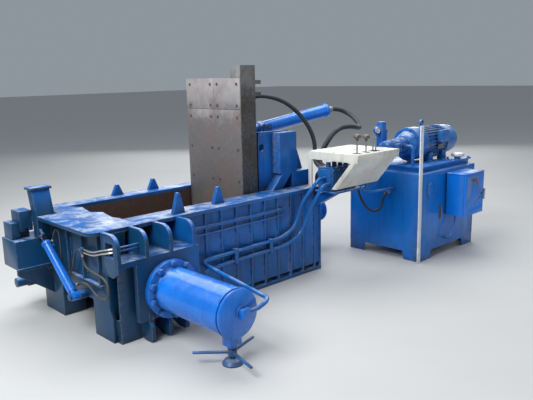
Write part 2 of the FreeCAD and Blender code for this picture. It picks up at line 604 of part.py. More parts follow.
# ---------------------------------------------------------------- operator stand
HOOD_END = "hood_x + hood_w"
LEVERS = ((2100, 1128, True), (2214, 1116, True), (2303, 1144, False), (2342, 1144, False))
node("hood", fuse(
    cut(box("hood_x", HOOD_END, "hood_near", "hood_back", "hood_top - hood_sheet", "hood_top"),
        *[box(x - 9, x + 9, "lever_y - 32", "lever_y + 32", "hood_top - hood_sheet", "hood_top")
          for x, top, knob in LEVERS]),
    box("hood_x", HOOD_END, "hood_near", "hood_near + hood_sheet", 1000, "hood_top"),
    slab("YZ", [("hood_near", 1000), ("hood_low_y", "hood_low_z"),
                ("hood_low_y + 5", "hood_low_z"), ("hood_near + 5", 1000)], "hood_x", HOOD_END),
    box("hood_x", "hood_x + 12", -516, "hood_back", "rim_top", "hood_top - hood_sheet"),
    box("hood_x", "hood_x + 12", -985, -516, 968, "hood_top - hood_sheet"),
    slab("YZ", [(-984, 1000), ("hood_low_y", "hood_low_z"), (-728, "hood_low_z"), (-918, 968),
                (-984, 974)], "hood_x", "hood_x + 12"),
    box("hood_x + hood_w - 12", HOOD_END, -985, "hood_back", 968, "hood_top - hood_sheet"),
    slab("YZ", [(-984, 1000), ("hood_low_y", "hood_low_z"), (-728, "hood_low_z"), (-918, 968),
                (-984, 974)], "hood_x + hood_w - 12", HOOD_END)))
node("valve_bracket", fuse(
    box(2022, 2400, -760, -540, 700, 712),
    box(2400, 2555, -760, -730, 700, 712),
    box(2400, 2555, -775, -760, 700, 741),
    slab("YZ", [(-492, 560), (-492, 640), (-600, 700), (-700, 700), (-700, 680)], 2060, 2110),
    slab("YZ", [(-492, 560), (-492, 640), (-600, 700), (-700, 700), (-700, 680)], 2122, 2136)))
VALVES = [box(2040 + 74 * k, 2110 + 74 * k, -715, -560, 712, 905) for k in range(4)]
VALVE_BANK = fuse(box(2030, 2340, -700, -575, 712, 890), *VALVES,
                  *[cyl("y", 2075 + 74 * k, -575, 850, 22, 40) for k in range(4)],
                  *[cyl("z", 2075 + 74 * k, -640, 905, 19, 40) for k in range(4)])
PILOT_VALVES = cut(
    fuse(*[box(x0, x1, "lever_y - 30", "lever_y + 30", 968, "hood_top - hood_sheet")
           for x0, x1 in ((2074, 2126), (2188, 2240), (2277, 2368))]),
    *[fuse(box(x - 9.2, x + 9.2, "lever_y - 23", "lever_y + 23", 968, 1030),
           cyl("x", x - 15, "lever_y", "lever_z", 5.08, 30)) for x, top, knob in LEVERS])
node("valve_bank", group(VALVE_BANK, PILOT_VALVES))


def lever(x, top, knob):
    """Hand lever standing up through the hood, pivoting about X inside its pilot valve."""
    parts = [cyl("z", x, "lever_y", 990, 6, top - 990),
             cyl("x", x - 9, "lever_y", "lever_z", 11, 18),
             cyl("x", x - 14.8, "lever_y", "lever_z", 5, 29.6)]
    if knob:
        parts.append(lathe("z", x, "lever_y", top, [(0, 0), (8, 0), (15, 16), (17, 24), (29, 28),
                                                    (31, 38), (27, 50), (12, 58), (0, 59)]))
    return fuse(*parts)


for index, (x, top, knob) in enumerate(LEVERS, start=1):
    node("lever_%d" % index, lever(x, top, knob))

# ---------------------------------------------------------------- power unit
TX = "tank_x + tank_len"
TY = "tank_y + tank_wide"
TANK = cut(
    box("tank_x", TX, "tank_y", TY, 0, "tank_top"),
    box("tank_x + tank_wall", "tank_x + tank_len - tank_wall", "tank_y + tank_wall",
        "tank_y + tank_wide - tank_wall", "leg_high + tank_wall", "tank_top - tank_wall"),
    box("tank_x + tank_wall", "tank_x + tank_len - tank_wall", "tank_y + tank_wall",
        "tank_y + tank_wide - tank_wall", 0, "leg_high"),
    slab("YZ", [(-868, 0), (-854, 78), (-443, 78), (-430, 0)], "tank_x", TX),
    slab("XZ", [(3020, 0), (3034, 78), (3575, 78), (3590, 0)], "tank_y", TY))
node("tank_deck", fuse(
    box(2925, 3800, -975, -330, 816, "tank_top + deck_high"),
    box(2935, 3765, -965, -340, "tank_top", 816),
    cyl("z", "filler_x", "filler_y", "tank_top + deck_high", 30, 24)))
node("tank", group(TANK, lathe("y", 3005, "tank_y - 9", 627,
                               [(0, 0), (64, 0), (72, 4), (72, 9), (0, 9)])))
node("level_gauge", fuse(box(3158, 3182, "tank_y - 8", "tank_y", 340, 470),
                         cyl("y", 3170, "tank_y - 16", 356, 8, 8),
                         cyl("y", 3170, "tank_y - 16", 454, 8, 8)))
node("filler_cap", lathe("z", "filler_x", "filler_y", "tank_top + deck_high + 24.4",
                         [(0, 0), (54, 0), (61, 6), (61, 22), (56, 30), (0, 30)]))
node("corner_post", cut(box(2803, 2848, "tank_y - 10", "tank_y", 0, 1202),
                        cyl("y", 2825, "tank_y - 10", 1160, 7, 10)))
MZ = "motor_z"
DECK = "tank_top + deck_high"
MOTOR_BODY = cut(
    fuse(cyl("x", 3250, "motor_y", MZ, "motor_r - 12", 370),
         cyl("x", 3230, "motor_y", MZ, "motor_r", 34),
         cyl("x", 3590, "motor_y", MZ, "motor_r", 30),
         *[swing(box(3264, 3590, "motor_y - 2.5", "motor_y + 2.5", "motor_z + motor_r - 18",
                     "motor_z + motor_r - 1"), (1, 0, 0), a, (3264, "motor_y", MZ))
           for a in range(-132, 133, 12)],
         *[box(x, x + 60, y, y + 60, DECK, "motor_z - 90")
           for x in (3290, 3520) for y in (-830, -630)],
         box(3280, 3590, -790, -610, "motor_z - 140", "motor_z - 100")),
    cyl("x", 3230, "motor_y", MZ, 19.08, 390),
    cyl("x", 3264, "motor_y", MZ, 24, 326))
node("motor_fan_cover", cut(
    lathe("x", 3620, "motor_y", MZ, [(0, 0), ("motor_r - 8", 0), ("motor_r - 8", 120),
                                     ("motor_r - 14", 160), ("motor_r - 45", 190), (0, 190)]),
    cyl("x", 3620, "motor_y", MZ, "motor_r - 18", 130),
    cyl("x", 3620, "motor_y", MZ, 60, 160),
    *[fuse(cyl("x", 3780, "motor_y + %.2f" % a, "motor_z + %.2f" % b, 7, 40))
      for r, n in ((30, 6), (52, 10), (74, 14)) for a, b in around(n, r)]))
node("motor_rotor", fuse(
    cyl("x", 3120, "motor_y", MZ, 19, 600),
    cyl("x", 3640, "motor_y", MZ, 34, 60),
    *[swing(box(3650, 3700, "motor_y - 2", "motor_y + 2", "motor_z + 25", "motor_z + 112"),
            (1, 0, 0), a, (3650, "motor_y", MZ)) for a in range(0, 360, 45)],
    cyl("x", 3120, "motor_y", MZ, 48, 60)))
TERMINAL_BOX = fuse(
    box(3400, 3520, -880, "motor_y - motor_r + 1", 1010, 1110),
    box(3394, 3526, -890, -880, 1004, 1116),
    cyl("z", 3460, -862, 985, 12, 25))
MOTOR_EYE = cut(
    fuse(cyl("z", 3345, "motor_y", "motor_z + motor_r - 14", 14, 28),
         cyl("y", 3345, "motor_y - 8", "motor_z + motor_r + 36", 27, 16)),
    cyl("y", 3345, "motor_y - 8", "motor_z + motor_r + 36", 14, 16))
node("motor_body", fuse(MOTOR_BODY, TERMINAL_BOX, MOTOR_EYE))
BELL = cut(
    lathe("x", 3040, "motor_y", MZ, [(0, 0), (78, 0), (92, 12), (118, 60), (118, 70), (150, 70),
                                     (150, 190), (0, 190)]),
    cyl("x", 3070, "motor_y", MZ, 62, 160),
    cyl("x", 3040, "motor_y", MZ, 24, 40))
node("bell_housing", group(BELL, *[
    hexagon("x", 3102, "motor_y + %.2f" % a, "motor_z + %.2f" % b, 20, 8)
    for a, b in around(8, 136, 0.2)]))
node("pump", fuse(
    lathe("x", 2754, "motor_y", MZ, [(0, 0), (46, 0), (58, 10), (62, 40), (62, 190), (74, 200),
                                     (74, 250), (70, 286), (0, 286)]),
    cyl("x", 3040, "motor_y", MZ, 20, 76),
    box(2830, 2900, -790, -740, 960, 1030),
    box(2945, 2985, -790, -740, 980, 1020)))
VALVE_TOWER = fuse(
    box(2985, 3085, -520, -420, DECK, 900),
    box(2998, 3072, -507, -433, 900, 1130),
    box(3004, 3066, -500, -440, 1130, 1200),
    cyl("x", 2955, -470, 1092, 12, 43),
    cyl("x", 3072, -470, 1110, 16, 40),
    cyl("y", 3035, -536, 960, 17, 30))
GAUGE = fuse(
    lathe("y", 2955, -486, 1128, [(0, 0), (30, 0), (32, 3), (32, 26), (0, 26)]),
    cyl("z", 2955, -470, 1102, 7, 8))
node("valve_tower", fuse(VALVE_TOWER, GAUGE))
CAB_X1 = "cab_x + cab_w"
node("cabinet", cut(
    fuse(box("cab_x", CAB_X1, "cab_out + 16", "tank_y - 10", "cab_low", "cab_high"),
         box("cab_x - 8", "cab_x + cab_w + 8", "cab_out - 2", "tank_y - 10", "cab_high",
             "cab_high + 5"),
         *[box(x, x + 30, "tank_y - 10", "tank_y", z, z + 30)
           for x in (3280, 3530) for z in (400, 680)]),
    box("cab_x + 3", "cab_x + cab_w - 3", "cab_out + 16", "tank_y - 14", "cab_low + 3",
        "cab_high - 3")))
DOOR = fuse(
    box("cab_x + 1", "cab_x + cab_w - 1", "cab_out", "cab_out + 15.6", "cab_low + 1",
        "cab_high - 1"),
    *[box("cab_x + 12", "cab_x + 16", "cab_out + 15.6", "cab_out + 22", z, z + 40)
      for z in (430, 640)])
node("cabinet_door", cut(DOOR, *[
    cyl("y", x, "cab_out - 2", 672, 9.2, 30) for x in (3405, 3447)],
    cyl("y", 3566, "cab_out - 2", 540, 7.1, 30)))
for index, x in enumerate((3405, 3447), start=1):
    node("button_%d" % index, fuse(
        cyl("y", x, "cab_out - 9", 672, 13, 6),
        cyl("y", x, "cab_out - 3", 672, 8.8, 27)))
node("door_handle", fuse(
    box(3559, 3573, "cab_out - 26", "cab_out - 14", 490, 590),
    cyl("y", 3566, "cab_out - 14", 540, 9, 13.6),
    cyl("y", 3566, "cab_out - 0.4", 540, 7, 20),
    box(3558, 3574, "cab_out + 19", "cab_out + 23", 531, 549)))

# ---------------------------------------------------------------- screw jack
JACK = ("side_x", "jack_y")
node("jack_foot", lathe("z", JACK[0], JACK[1], 0,
                        [(0, 0), (62, 0), (62, 8), (48, 26), (26, 36), (0, 36)]))
ARM_Z = 72
node("jack_screw", fuse(
    cyl("z", JACK[0], JACK[1], 36.4, 17, 108),
    cyl("z", JACK[0], JACK[1], ARM_Z - 18, 27, 36),
    *[swing(cyl("x", "side_x + 20", "jack_y", ARM_Z, 9, 212), (0, 0, 1), a,
            ("side_x", "jack_y", ARM_Z)) for a in (16, 136, 256)]))
JACK_NUT = cut(
    fuse(box("side_x - 45", "side_x + 45", "jack_y - 35", "jack_y + 35", 120, 187),
         cyl("z", JACK[0], JACK[1], 104, 32, 20)),
    cyl("z", JACK[0], JACK[1], 100, 17.1, 60),
    cyl("y", "side_x", "jack_y - 40", "side_z", "side_barrel", 80))
node("side_cylinder", group(fuse(SIDE_BARREL, JACK_NUT), SIDE_CAP))

# ---------------------------------------------------------------- pipes and hoses
RIGID = [tube(points, size) for points, size in (
    ([(485, -1395, 334), (560, -1395, 334), (648, -1400, 368), (812, -540, 372), (1020, -506, 365),
      (1650, -506, 372), (1800, -516, 430), (1860, -530, 620), (1955, -640, 820),
      (2030, -640, 820)], 28),
    ([("side_x + side_barrel + 22", -790, 323), (710, -790, 323), (790, -580, 300),
      (990, -506, 294), (1690, -506, 300), (1850, -530, 360), (1915, -570, 560),
      (1955, -685, 775), (2030, -685, 775)], 28),
    ([(2340, -680, 770), (2420, -680, 770), (2500, -700, 640), (2700, -760, 640),
      (2839, -760, 640)], 24),
    ([(2965, -790, 1000), (2965, -860, 1000), (2965, -860, 830)], 30),
    ([(3330, -1090, 365), (3330, -1090, 290), (3250, -1090, 150), (3250, -1028, 150)], 18))]
RIB_TUBES = [tube([(62, -305, z), (62, -420, z), (62, -560, z + 42), (86, -620, z + 52),
                   (272.4, -620, z + 52)], 12) for z in (562, 584)]
node("rigid_pipes", group(*RIGID, *RIB_TUBES))


def lid_port(along, up):
    """Point on the lid cylinder, measured from the trunnion along and square to its line."""
    a = math.radians(LID_AXIS)
    return (SIZES["trunnion_x"] + along * math.cos(a) - up * math.sin(a), SIZES["axis_y"],
            SIZES["trunnion_z"] + along * math.sin(a) + up * math.cos(a))


for tag, points, size in (
        ("hose_turn_rod", [(62, 134, 560), (62, 96, 652), (62, 22, 652), (62, 20, 520),
                           (62, 26, 376), (62, -112, 372), (62, -165, 490), (62, -205, 573),
                           (62, -275, 573)], 13),
        ("hose_turn_base", [(62, -290, 552), (62, -290, 476), (62, -390, 452), (62, -592, 440),
                            (62, -590, 302), (62, -440, 296), (62, -345, 350), (62, -258, 352),
                            (62, -180, 318)], 15),
        ("hose_lid_front", [(2223, -535, 850), (2223, -340, 850), (2290, -320, 1120),
                            (2080, -220, 1420), (1830, -60, 1500), lid_port(-140, 230),
                            lid_port(-140, 72)], 36),
        ("hose_lid_rear", [lid_port(904.3, 0), lid_port(1030, 0), (3080, -90, 1250),
                           (2990, -280, 1130), (2640, -420, 1190), (2420, -430, 1180),
                           (2330, -350, 1000), (2297, -330, 850), (2297, -535, 850)], 44),
        ("hose_main", [(2149, -535, 850), (2149, -430, 850), (2240, -390, 640),
                       (2560, -120, 600), (2640, 33, 590), (2640, 33, 477)], 30),
        ("hose_tank", [(2340, -600, 790), (2470, -600, 790), (2530, -620, 560),
                       (2620, -660, 440), (2740, -690, 450), (2770, -700, 600),
                       (2839, -700, 600)], 22)):
    node(tag, tube(points, size))
CLAMPS = [cut(box(x, x + 30, -524, -480, 275, 390),
              cyl("x", x, -506, top, 14.5, 30), cyl("x", x, -506, low, 14.3, 30))
          for x, top, low in ((1150, 366.7, 295.4), (1515, 370.5, 298.6))]
node("pipe_clamps", group(box(50, 72, -305, -275, 552, 592), *CLAMPS))

# ---------------------------------------------------------------- check and write
DOC.recompute()
for obj in DOC.Objects:
    assert not {"Invalid", "Error"} & set(obj.State), obj.Label
os.makedirs("parts", exist_ok=True)
ORIGIN = FreeCAD.Vector(SIZES["origin_x"], SIZES["origin_y"], 0)
for obj in NODES:
    assert not obj.Shape.isNull() and obj.Shape.isValid(), obj.Label
    written = obj.Shape.copy()
    written.translate(-ORIGIN)
    written.exportStep("parts/%s.step" % obj.Label)
    print("%-20s %3d solids %12.0f mm3" % (obj.Label, len(obj.Shape.Solids), obj.Shape.Volume))
print(len(NODES), "nodes; lid reach %.1f tilt %.2f; turn reach %.1f angle %.2f" % (
    LID_REACH, LID_AXIS, TURN_REACH, TURN_ANGLE))
print("bend radii and bores", ROUTES)
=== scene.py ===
"""Looks of the recycling baler: camera, light, finishes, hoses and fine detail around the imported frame."""
import bpy
import bmesh
import json
import math
import random
from mathutils import Matrix, Vector


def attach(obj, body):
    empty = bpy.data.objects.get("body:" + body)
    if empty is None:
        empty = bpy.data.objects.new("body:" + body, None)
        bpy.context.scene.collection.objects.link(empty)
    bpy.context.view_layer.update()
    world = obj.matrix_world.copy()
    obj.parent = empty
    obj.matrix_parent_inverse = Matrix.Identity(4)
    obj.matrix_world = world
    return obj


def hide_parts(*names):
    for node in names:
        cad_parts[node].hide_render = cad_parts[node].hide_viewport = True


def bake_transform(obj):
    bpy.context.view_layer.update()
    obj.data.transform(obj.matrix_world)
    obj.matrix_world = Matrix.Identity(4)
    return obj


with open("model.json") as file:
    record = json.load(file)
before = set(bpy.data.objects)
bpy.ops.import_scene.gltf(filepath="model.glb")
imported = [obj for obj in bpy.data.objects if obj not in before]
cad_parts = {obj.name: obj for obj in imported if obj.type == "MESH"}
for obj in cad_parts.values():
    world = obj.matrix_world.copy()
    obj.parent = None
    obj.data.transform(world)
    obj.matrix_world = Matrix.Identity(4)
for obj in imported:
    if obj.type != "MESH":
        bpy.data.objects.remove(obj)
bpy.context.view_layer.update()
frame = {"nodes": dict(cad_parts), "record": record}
random.seed(7)
SHIFT = Vector((1.823, -0.46114, 0.0))

# Driving places of the machine, in millimetres from the press corner.
WALL_FACE = 481
RIM_UNDERSIDE = 703
RIB_FACES = [x + 145 * k for k in range(10) for x in (759, 775)]
SIDE_AXIS_X, SIDE_AXIS_Z = 440, 323
MAIN_AXIS_Y, MAIN_AXIS_Z = 33, 355
TRUNNION_X, TRUNNION_Y, TRUNNION_Z = 1950, 33, 1190
INSPECTION_X, INSPECTION_Z = 3005, 627
GAUGE_X, GAUGE_Y, GAUGE_Z = 2955, -487, 1128
LEVERS_X = (2100, 2214, 2303, 2342)
HOOD_TOP = 1033


def at(x, y, z):
    """Point given in millimetres from the press corner, in the row frame in metres."""
    return Vector((x / 1000, y / 1000, z / 1000)) - SHIFT


# ---------------------------------------------------------------- camera
EYE = (-1707, -3849, 1650)
FOCAL_LENGTH = 41.46
yaw, pitch, roll = math.radians(43.804), math.radians(11.528), math.radians(-1.251)
ahead = Vector((math.sin(yaw) * math.cos(pitch), math.cos(yaw) * math.cos(pitch), -math.sin(pitch)))
level = Vector((math.cos(yaw), -math.sin(yaw), 0))
above = level.cross(ahead)
right = math.cos(roll) * level + math.sin(roll) * above
up = -math.sin(roll) * level + math.cos(roll) * above
lens = bpy.data.cameras.new("camera")
lens.sensor_width = 36
lens.lens = FOCAL_LENGTH
lens.clip_start = 0.1
lens.clip_end = 100
camera = bpy.data.objects.new("camera", lens)
bpy.context.collection.objects.link(camera)
turn = Matrix((right, up, -ahead)).transposed()
camera.matrix_world = Matrix.Translation(at(*EYE)) @ turn.to_4x4()
bpy.context.scene.camera = camera


# ---------------------------------------------------------------- node helpers
class Graph:
    """Small builder for one material's nodes."""

    def __init__(self, name):
        self.mat = bpy.data.materials.new(name)
        self.mat.use_nodes = True
        self.tree = self.mat.node_tree
        self.shader = self.tree.nodes["Principled BSDF"]
        self.coord = self.add("ShaderNodeTexCoord").outputs["Object"]
        self.geo = self.add("ShaderNodeNewGeometry")

    def add(self, kind, **props):
        node = self.tree.nodes.new(kind)
        for key, item in props.items():
            setattr(node, key, item)
        return node

    def wire(self, source, socket):
        if isinstance(source, (int, float)):
            socket.default_value = source
        elif isinstance(source, (tuple, list)):
            socket.default_value = tuple(source) + (1,) * (len(socket.default_value) - len(source))
        else:
            self.tree.links.new(source, socket)

    def noise(self, scale, detail=5, rough=0.6, stretch=None, warp=0.0):
        coord = self.coord
        if stretch:
            mapping = self.add("ShaderNodeMapping")
            self.wire(coord, mapping.inputs["Vector"])
            mapping.inputs["Scale"].default_value = stretch
            coord = mapping.outputs["Vector"]
        node = self.add("ShaderNodeTexNoise")
        self.wire(coord, node.inputs["Vector"])
        node.inputs["Scale"].default_value = scale
        node.inputs["Detail"].default_value = detail
        node.inputs["Roughness"].default_value = rough
        node.inputs["Distortion"].default_value = warp
        return node.outputs["Fac"]

    def step(self, source, low, high):
        """0 below low, 1 above high, smooth between."""
        node = self.add("ShaderNodeMapRange", interpolation_type="SMOOTHSTEP")
        self.wire(source, node.inputs["Value"])
        node.inputs["From Min"].default_value = low
        node.inputs["From Max"].default_value = high
        return node.outputs["Result"]

    def maths(self, operation, a, b=0.0, clamp=False):
        node = self.add("ShaderNodeMath", operation=operation, use_clamp=clamp)
        self.wire(a, node.inputs[0])
        self.wire(b, node.inputs[1])
        return node.outputs[0]

    def mix(self, amount, a, b):
        node = self.add("ShaderNodeMix", data_type="RGBA")
        self.wire(amount, node.inputs[0])
        self.wire(a, node.inputs[6])
        self.wire(b, node.inputs[7])
        return node.outputs[2]

    def edges(self, radius, low=0.02, high=0.3):
        """Mask of the surface near its sharp edges."""
        bevel = self.add("ShaderNodeBevel", samples=3)
        bevel.inputs["Radius"].default_value = radius
        dot = self.add("ShaderNodeVectorMath", operation="DOT_PRODUCT")
        self.wire(bevel.outputs["Normal"], dot.inputs[0])
        self.wire(self.geo.outputs["True Normal"], dot.inputs[1])
        return self.step(self.maths("SUBTRACT", 1.0, dot.outputs["Value"]), low, high)

    def occlusion_shade(self, reach):
        # Occlusion mask of corners and hollows, used to paint shade into the colour.
        node = self.add("ShaderNodeAmbientOcclusion", samples=4)
        node.inputs["Distance"].default_value = reach
        return self.step(node.outputs["AO"], 0.95, 0.35)

    def facing(self, axis):
        split = self.add("ShaderNodeSeparateXYZ")
        self.wire(self.geo.outputs["Normal"], split.inputs[0])
        return split.outputs[axis]

    def place(self, axis):
        split = self.add("ShaderNodeSeparateXYZ")
        self.wire(self.coord, split.inputs[0])
        return split.outputs[axis]

    def bump(self, *layers):
        """Stack of (height source, strength, distance)."""
        normal = None
        for source, strength, distance in layers:
            node = self.add("ShaderNodeBump")
            node.inputs["Strength"].default_value = strength
            node.inputs["Distance"].default_value = distance
            self.wire(source, node.inputs["Height"])
            if normal is not None:
                self.wire(normal, node.inputs["Normal"])
            normal = node.outputs["Normal"]
        self.wire(normal, self.shader.inputs["Normal"])

    def finish(self, colour, rough, metal=0.0, coat=0.0):
        self.wire(colour, self.shader.inputs["Base Color"])
        self.wire(rough, self.shader.inputs["Roughness"])
        self.wire(metal, self.shader.inputs["Metallic"])
        self.shader.inputs["Coat Weight"].default_value = coat
        self.shader.inputs["Coat Roughness"].default_value = 0.12
        return self.mat


LOW_DARKENING = 0.5


def paint(name, deep, bright, dust=0.35, chips=0.6, corner_shade_and_grime=0.5, rough=0.3, coat=0.15, front=0.0,
          dust_and_sheen_colour=(0.42, 0.47, 0.54)):
    """Brushed-on machine enamel with dust and painted sheen on its tops, dirt and painted shade in its
    corners, and chipped edges.

    front darkens the paint towards the bale end, on faces that do not point up.
    """
    g = Graph(name)
    broad = g.noise(2.3, 4, 0.55)
    fine = g.noise(38, 6, 0.65)
    colour = g.mix(g.step(broad, 0.3, 0.7), deep, bright)
    brushed = g.noise(20, 5, 0.65, stretch=(1, 1, 0.1))
    colour = g.mix(g.maths("MULTIPLY", g.step(brushed, 0.5, 0.72), 0.4), colour,
                   tuple(c * 0.5 for c in deep))
    if front:
        # Darker towards the bale end, on faces that do not point up, in patches.
        near = g.step(g.place("X"), -0.75, -1.65)
        front_darkening = g.maths("ADD", g.maths("MULTIPLY", near, front), g.maths("MULTIPLY", g.noise(5, 6, 0.7), 0.5))
        front_darkening = g.maths("MULTIPLY", g.step(front_darkening, 0.32, 0.95), g.step(g.facing("Z"), 0.6, 0.2))
        colour = g.mix(front_darkening, colour, (0.003, 0.048, 0.125))
    # Tops lighter in patches: dust, and painted sheen of the sky on them.
    top_dust_and_sheen = g.step(g.facing("Z"), 0.45, 0.95)
    patch = g.step(g.noise(7.5, 9, 0.74, warp=0.3), 0.42, 0.62)
    colour = g.mix(g.maths("MULTIPLY", g.maths("MULTIPLY", top_dust_and_sheen, patch), dust), colour, dust_and_sheen_colour)
    # Darker towards the bottom, in patches.
    low = g.step(g.place("Z"), 0.42, 0.0)
    low_darkening = g.maths("MULTIPLY", g.maths("MULTIPLY", low, g.step(g.noise(9, 8, 0.7), 0.35, 0.65)), LOW_DARKENING)
    colour = g.mix(low_darkening, colour, (0.03, 0.065, 0.10))
    # Painted shade: darker in corners and hollows found by occlusion, in grime-like patches.
    corner_shade_and_dirt = g.maths("MULTIPLY", g.occlusion_shade(0.07), g.step(g.noise(13, 7, 0.7), 0.25, 0.62))
    corner_shade_and_dirt = g.maths("MULTIPLY", corner_shade_and_dirt, corner_shade_and_grime)
    colour = g.mix(corner_shade_and_dirt, colour, (0.010, 0.026, 0.050))
    chip = g.maths("MULTIPLY", g.edges(0.006), g.step(g.noise(30, 8, 0.75), 0.44, 0.58))
    spots = g.step(g.noise(17, 10, 0.8, warp=0.4), 0.7, 0.725)
    bare = g.maths("MULTIPLY", g.maths("MAXIMUM", chip, spots), chips, clamp=True)
    colour = g.mix(bare, colour, g.mix(fine, (0.17, 0.12, 0.09), (0.46, 0.45, 0.45)))
    shine = g.maths("ADD", rough, g.maths("MULTIPLY", fine, 0.16))
    shine = g.maths("ADD", shine, g.maths("MULTIPLY", g.maths("MAXIMUM", bare, corner_shade_and_dirt), 0.3), clamp=True)
    g.bump((g.noise(3.4, 3, 0.5), 0.25, 0.01), (g.noise(240, 3, 0.6), 0.06, 0.002),
           (g.maths("SUBTRACT", 1.0, bare), 0.35, 0.0006))
    g.shader.inputs["Specular IOR Level"].default_value = 0.32
    return g.finish(colour, shine, 0.0, coat)


def steel(name, light, dark, tint=(0.16, 0.08, 0.06), tinted=0.4, rough=0.38, grain=(1, 1, 14), metal=0.85,
          scale=9.0, seam=None):
    """Bare steel with scratches along one axis and a film of rust.

    Above the seam level it is rubbed bright.
    """
    g = Graph(name)
    scratch = g.noise(60, 6, 0.7, stretch=grain)
    cloud = g.noise(scale, 7, 0.66)
    colour = g.mix(g.step(scratch, 0.3, 0.72), dark, light)
    if seam:
        rubbed = g.maths("ADD", g.place("Z"), g.maths("MULTIPLY", g.noise(7, 7, 0.75), 0.5))
        colour = g.mix(g.maths("MULTIPLY", g.step(rubbed, seam + 0.12, seam + 0.36), 0.62), colour,
                       tuple(min(1, c * 2.1) for c in light))
    rust = g.maths("MULTIPLY", g.step(cloud, 0.42, 0.68), tinted)
    colour = g.mix(rust, colour, tint)
    # Painted shade: near black in the corners and hollows found by occlusion.
    colour = g.mix(g.maths("MULTIPLY", g.occlusion_shade(0.05), 0.7), colour, (0.02, 0.018, 0.017))
    worn_edge = tuple(min(1, c * 1.5) for c in light)
    colour = g.mix(g.maths("MULTIPLY", g.edges(0.004), 0.55), colour, worn_edge)
    shine = g.maths("ADD", rough, g.maths("MULTIPLY", cloud, 0.3), clamp=True)
    shine = g.maths("ADD", shine, g.maths("MULTIPLY", rust, 0.25), clamp=True)
    g.bump((cloud, 0.25, 0.004), (scratch, 0.18, 0.0008))
    return g.finish(colour, shine, g.maths("SUBTRACT", metal, g.maths("MULTIPLY", rust, metal)))


def chrome(name, colour=(0.72, 0.73, 0.75)):
    g = Graph(name)
    film = g.noise(90, 5, 0.7, stretch=(8, 1, 1))
    smear = g.noise(7, 5, 0.6)
    tone = g.mix(g.step(smear, 0.4, 0.75), colour, tuple(c * 0.6 for c in colour))
    g.bump((film, 0.05, 0.0004))
    return g.finish(tone, g.maths("ADD", 0.1, g.maths("MULTIPLY", film, 0.2)), 1.0)


def rubber(name, colour, dusty=(0.14, 0.145, 0.15)):
    """Hose cover: wrapped cloth marks, dust on top."""
    g = Graph(name)
    wave = g.noise(420, 2, 0.5)
    dust = g.maths("MULTIPLY", g.step(g.facing("Z"), -0.2, 0.9), g.step(g.noise(14, 7, 0.7), 0.3, 0.7))
    tone = g.mix(g.maths("MULTIPLY", dust, 0.6), colour, dusty)
    g.bump((wave, 0.25, 0.0006), (g.noise(45, 4, 0.6), 0.15, 0.001))
    return g.finish(tone, g.maths("ADD", 0.5, g.maths("MULTIPLY", dust, 0.35), clamp=True))


def plastic(name, colour, rough=0.35):
    g = Graph(name)
    smear = g.noise(28, 6, 0.7)
    tone = g.mix(g.maths("MULTIPLY", g.step(smear, 0.4, 0.8), 0.35), colour,
                 tuple(c * 0.5 + 0.03 for c in colour))
    g.bump((g.noise(600, 3, 0.6), 0.1, 0.0004))
    return g.finish(tone, g.maths("ADD", rough, g.maths("MULTIPLY", smear, 0.2)), 0.0, 0.2)


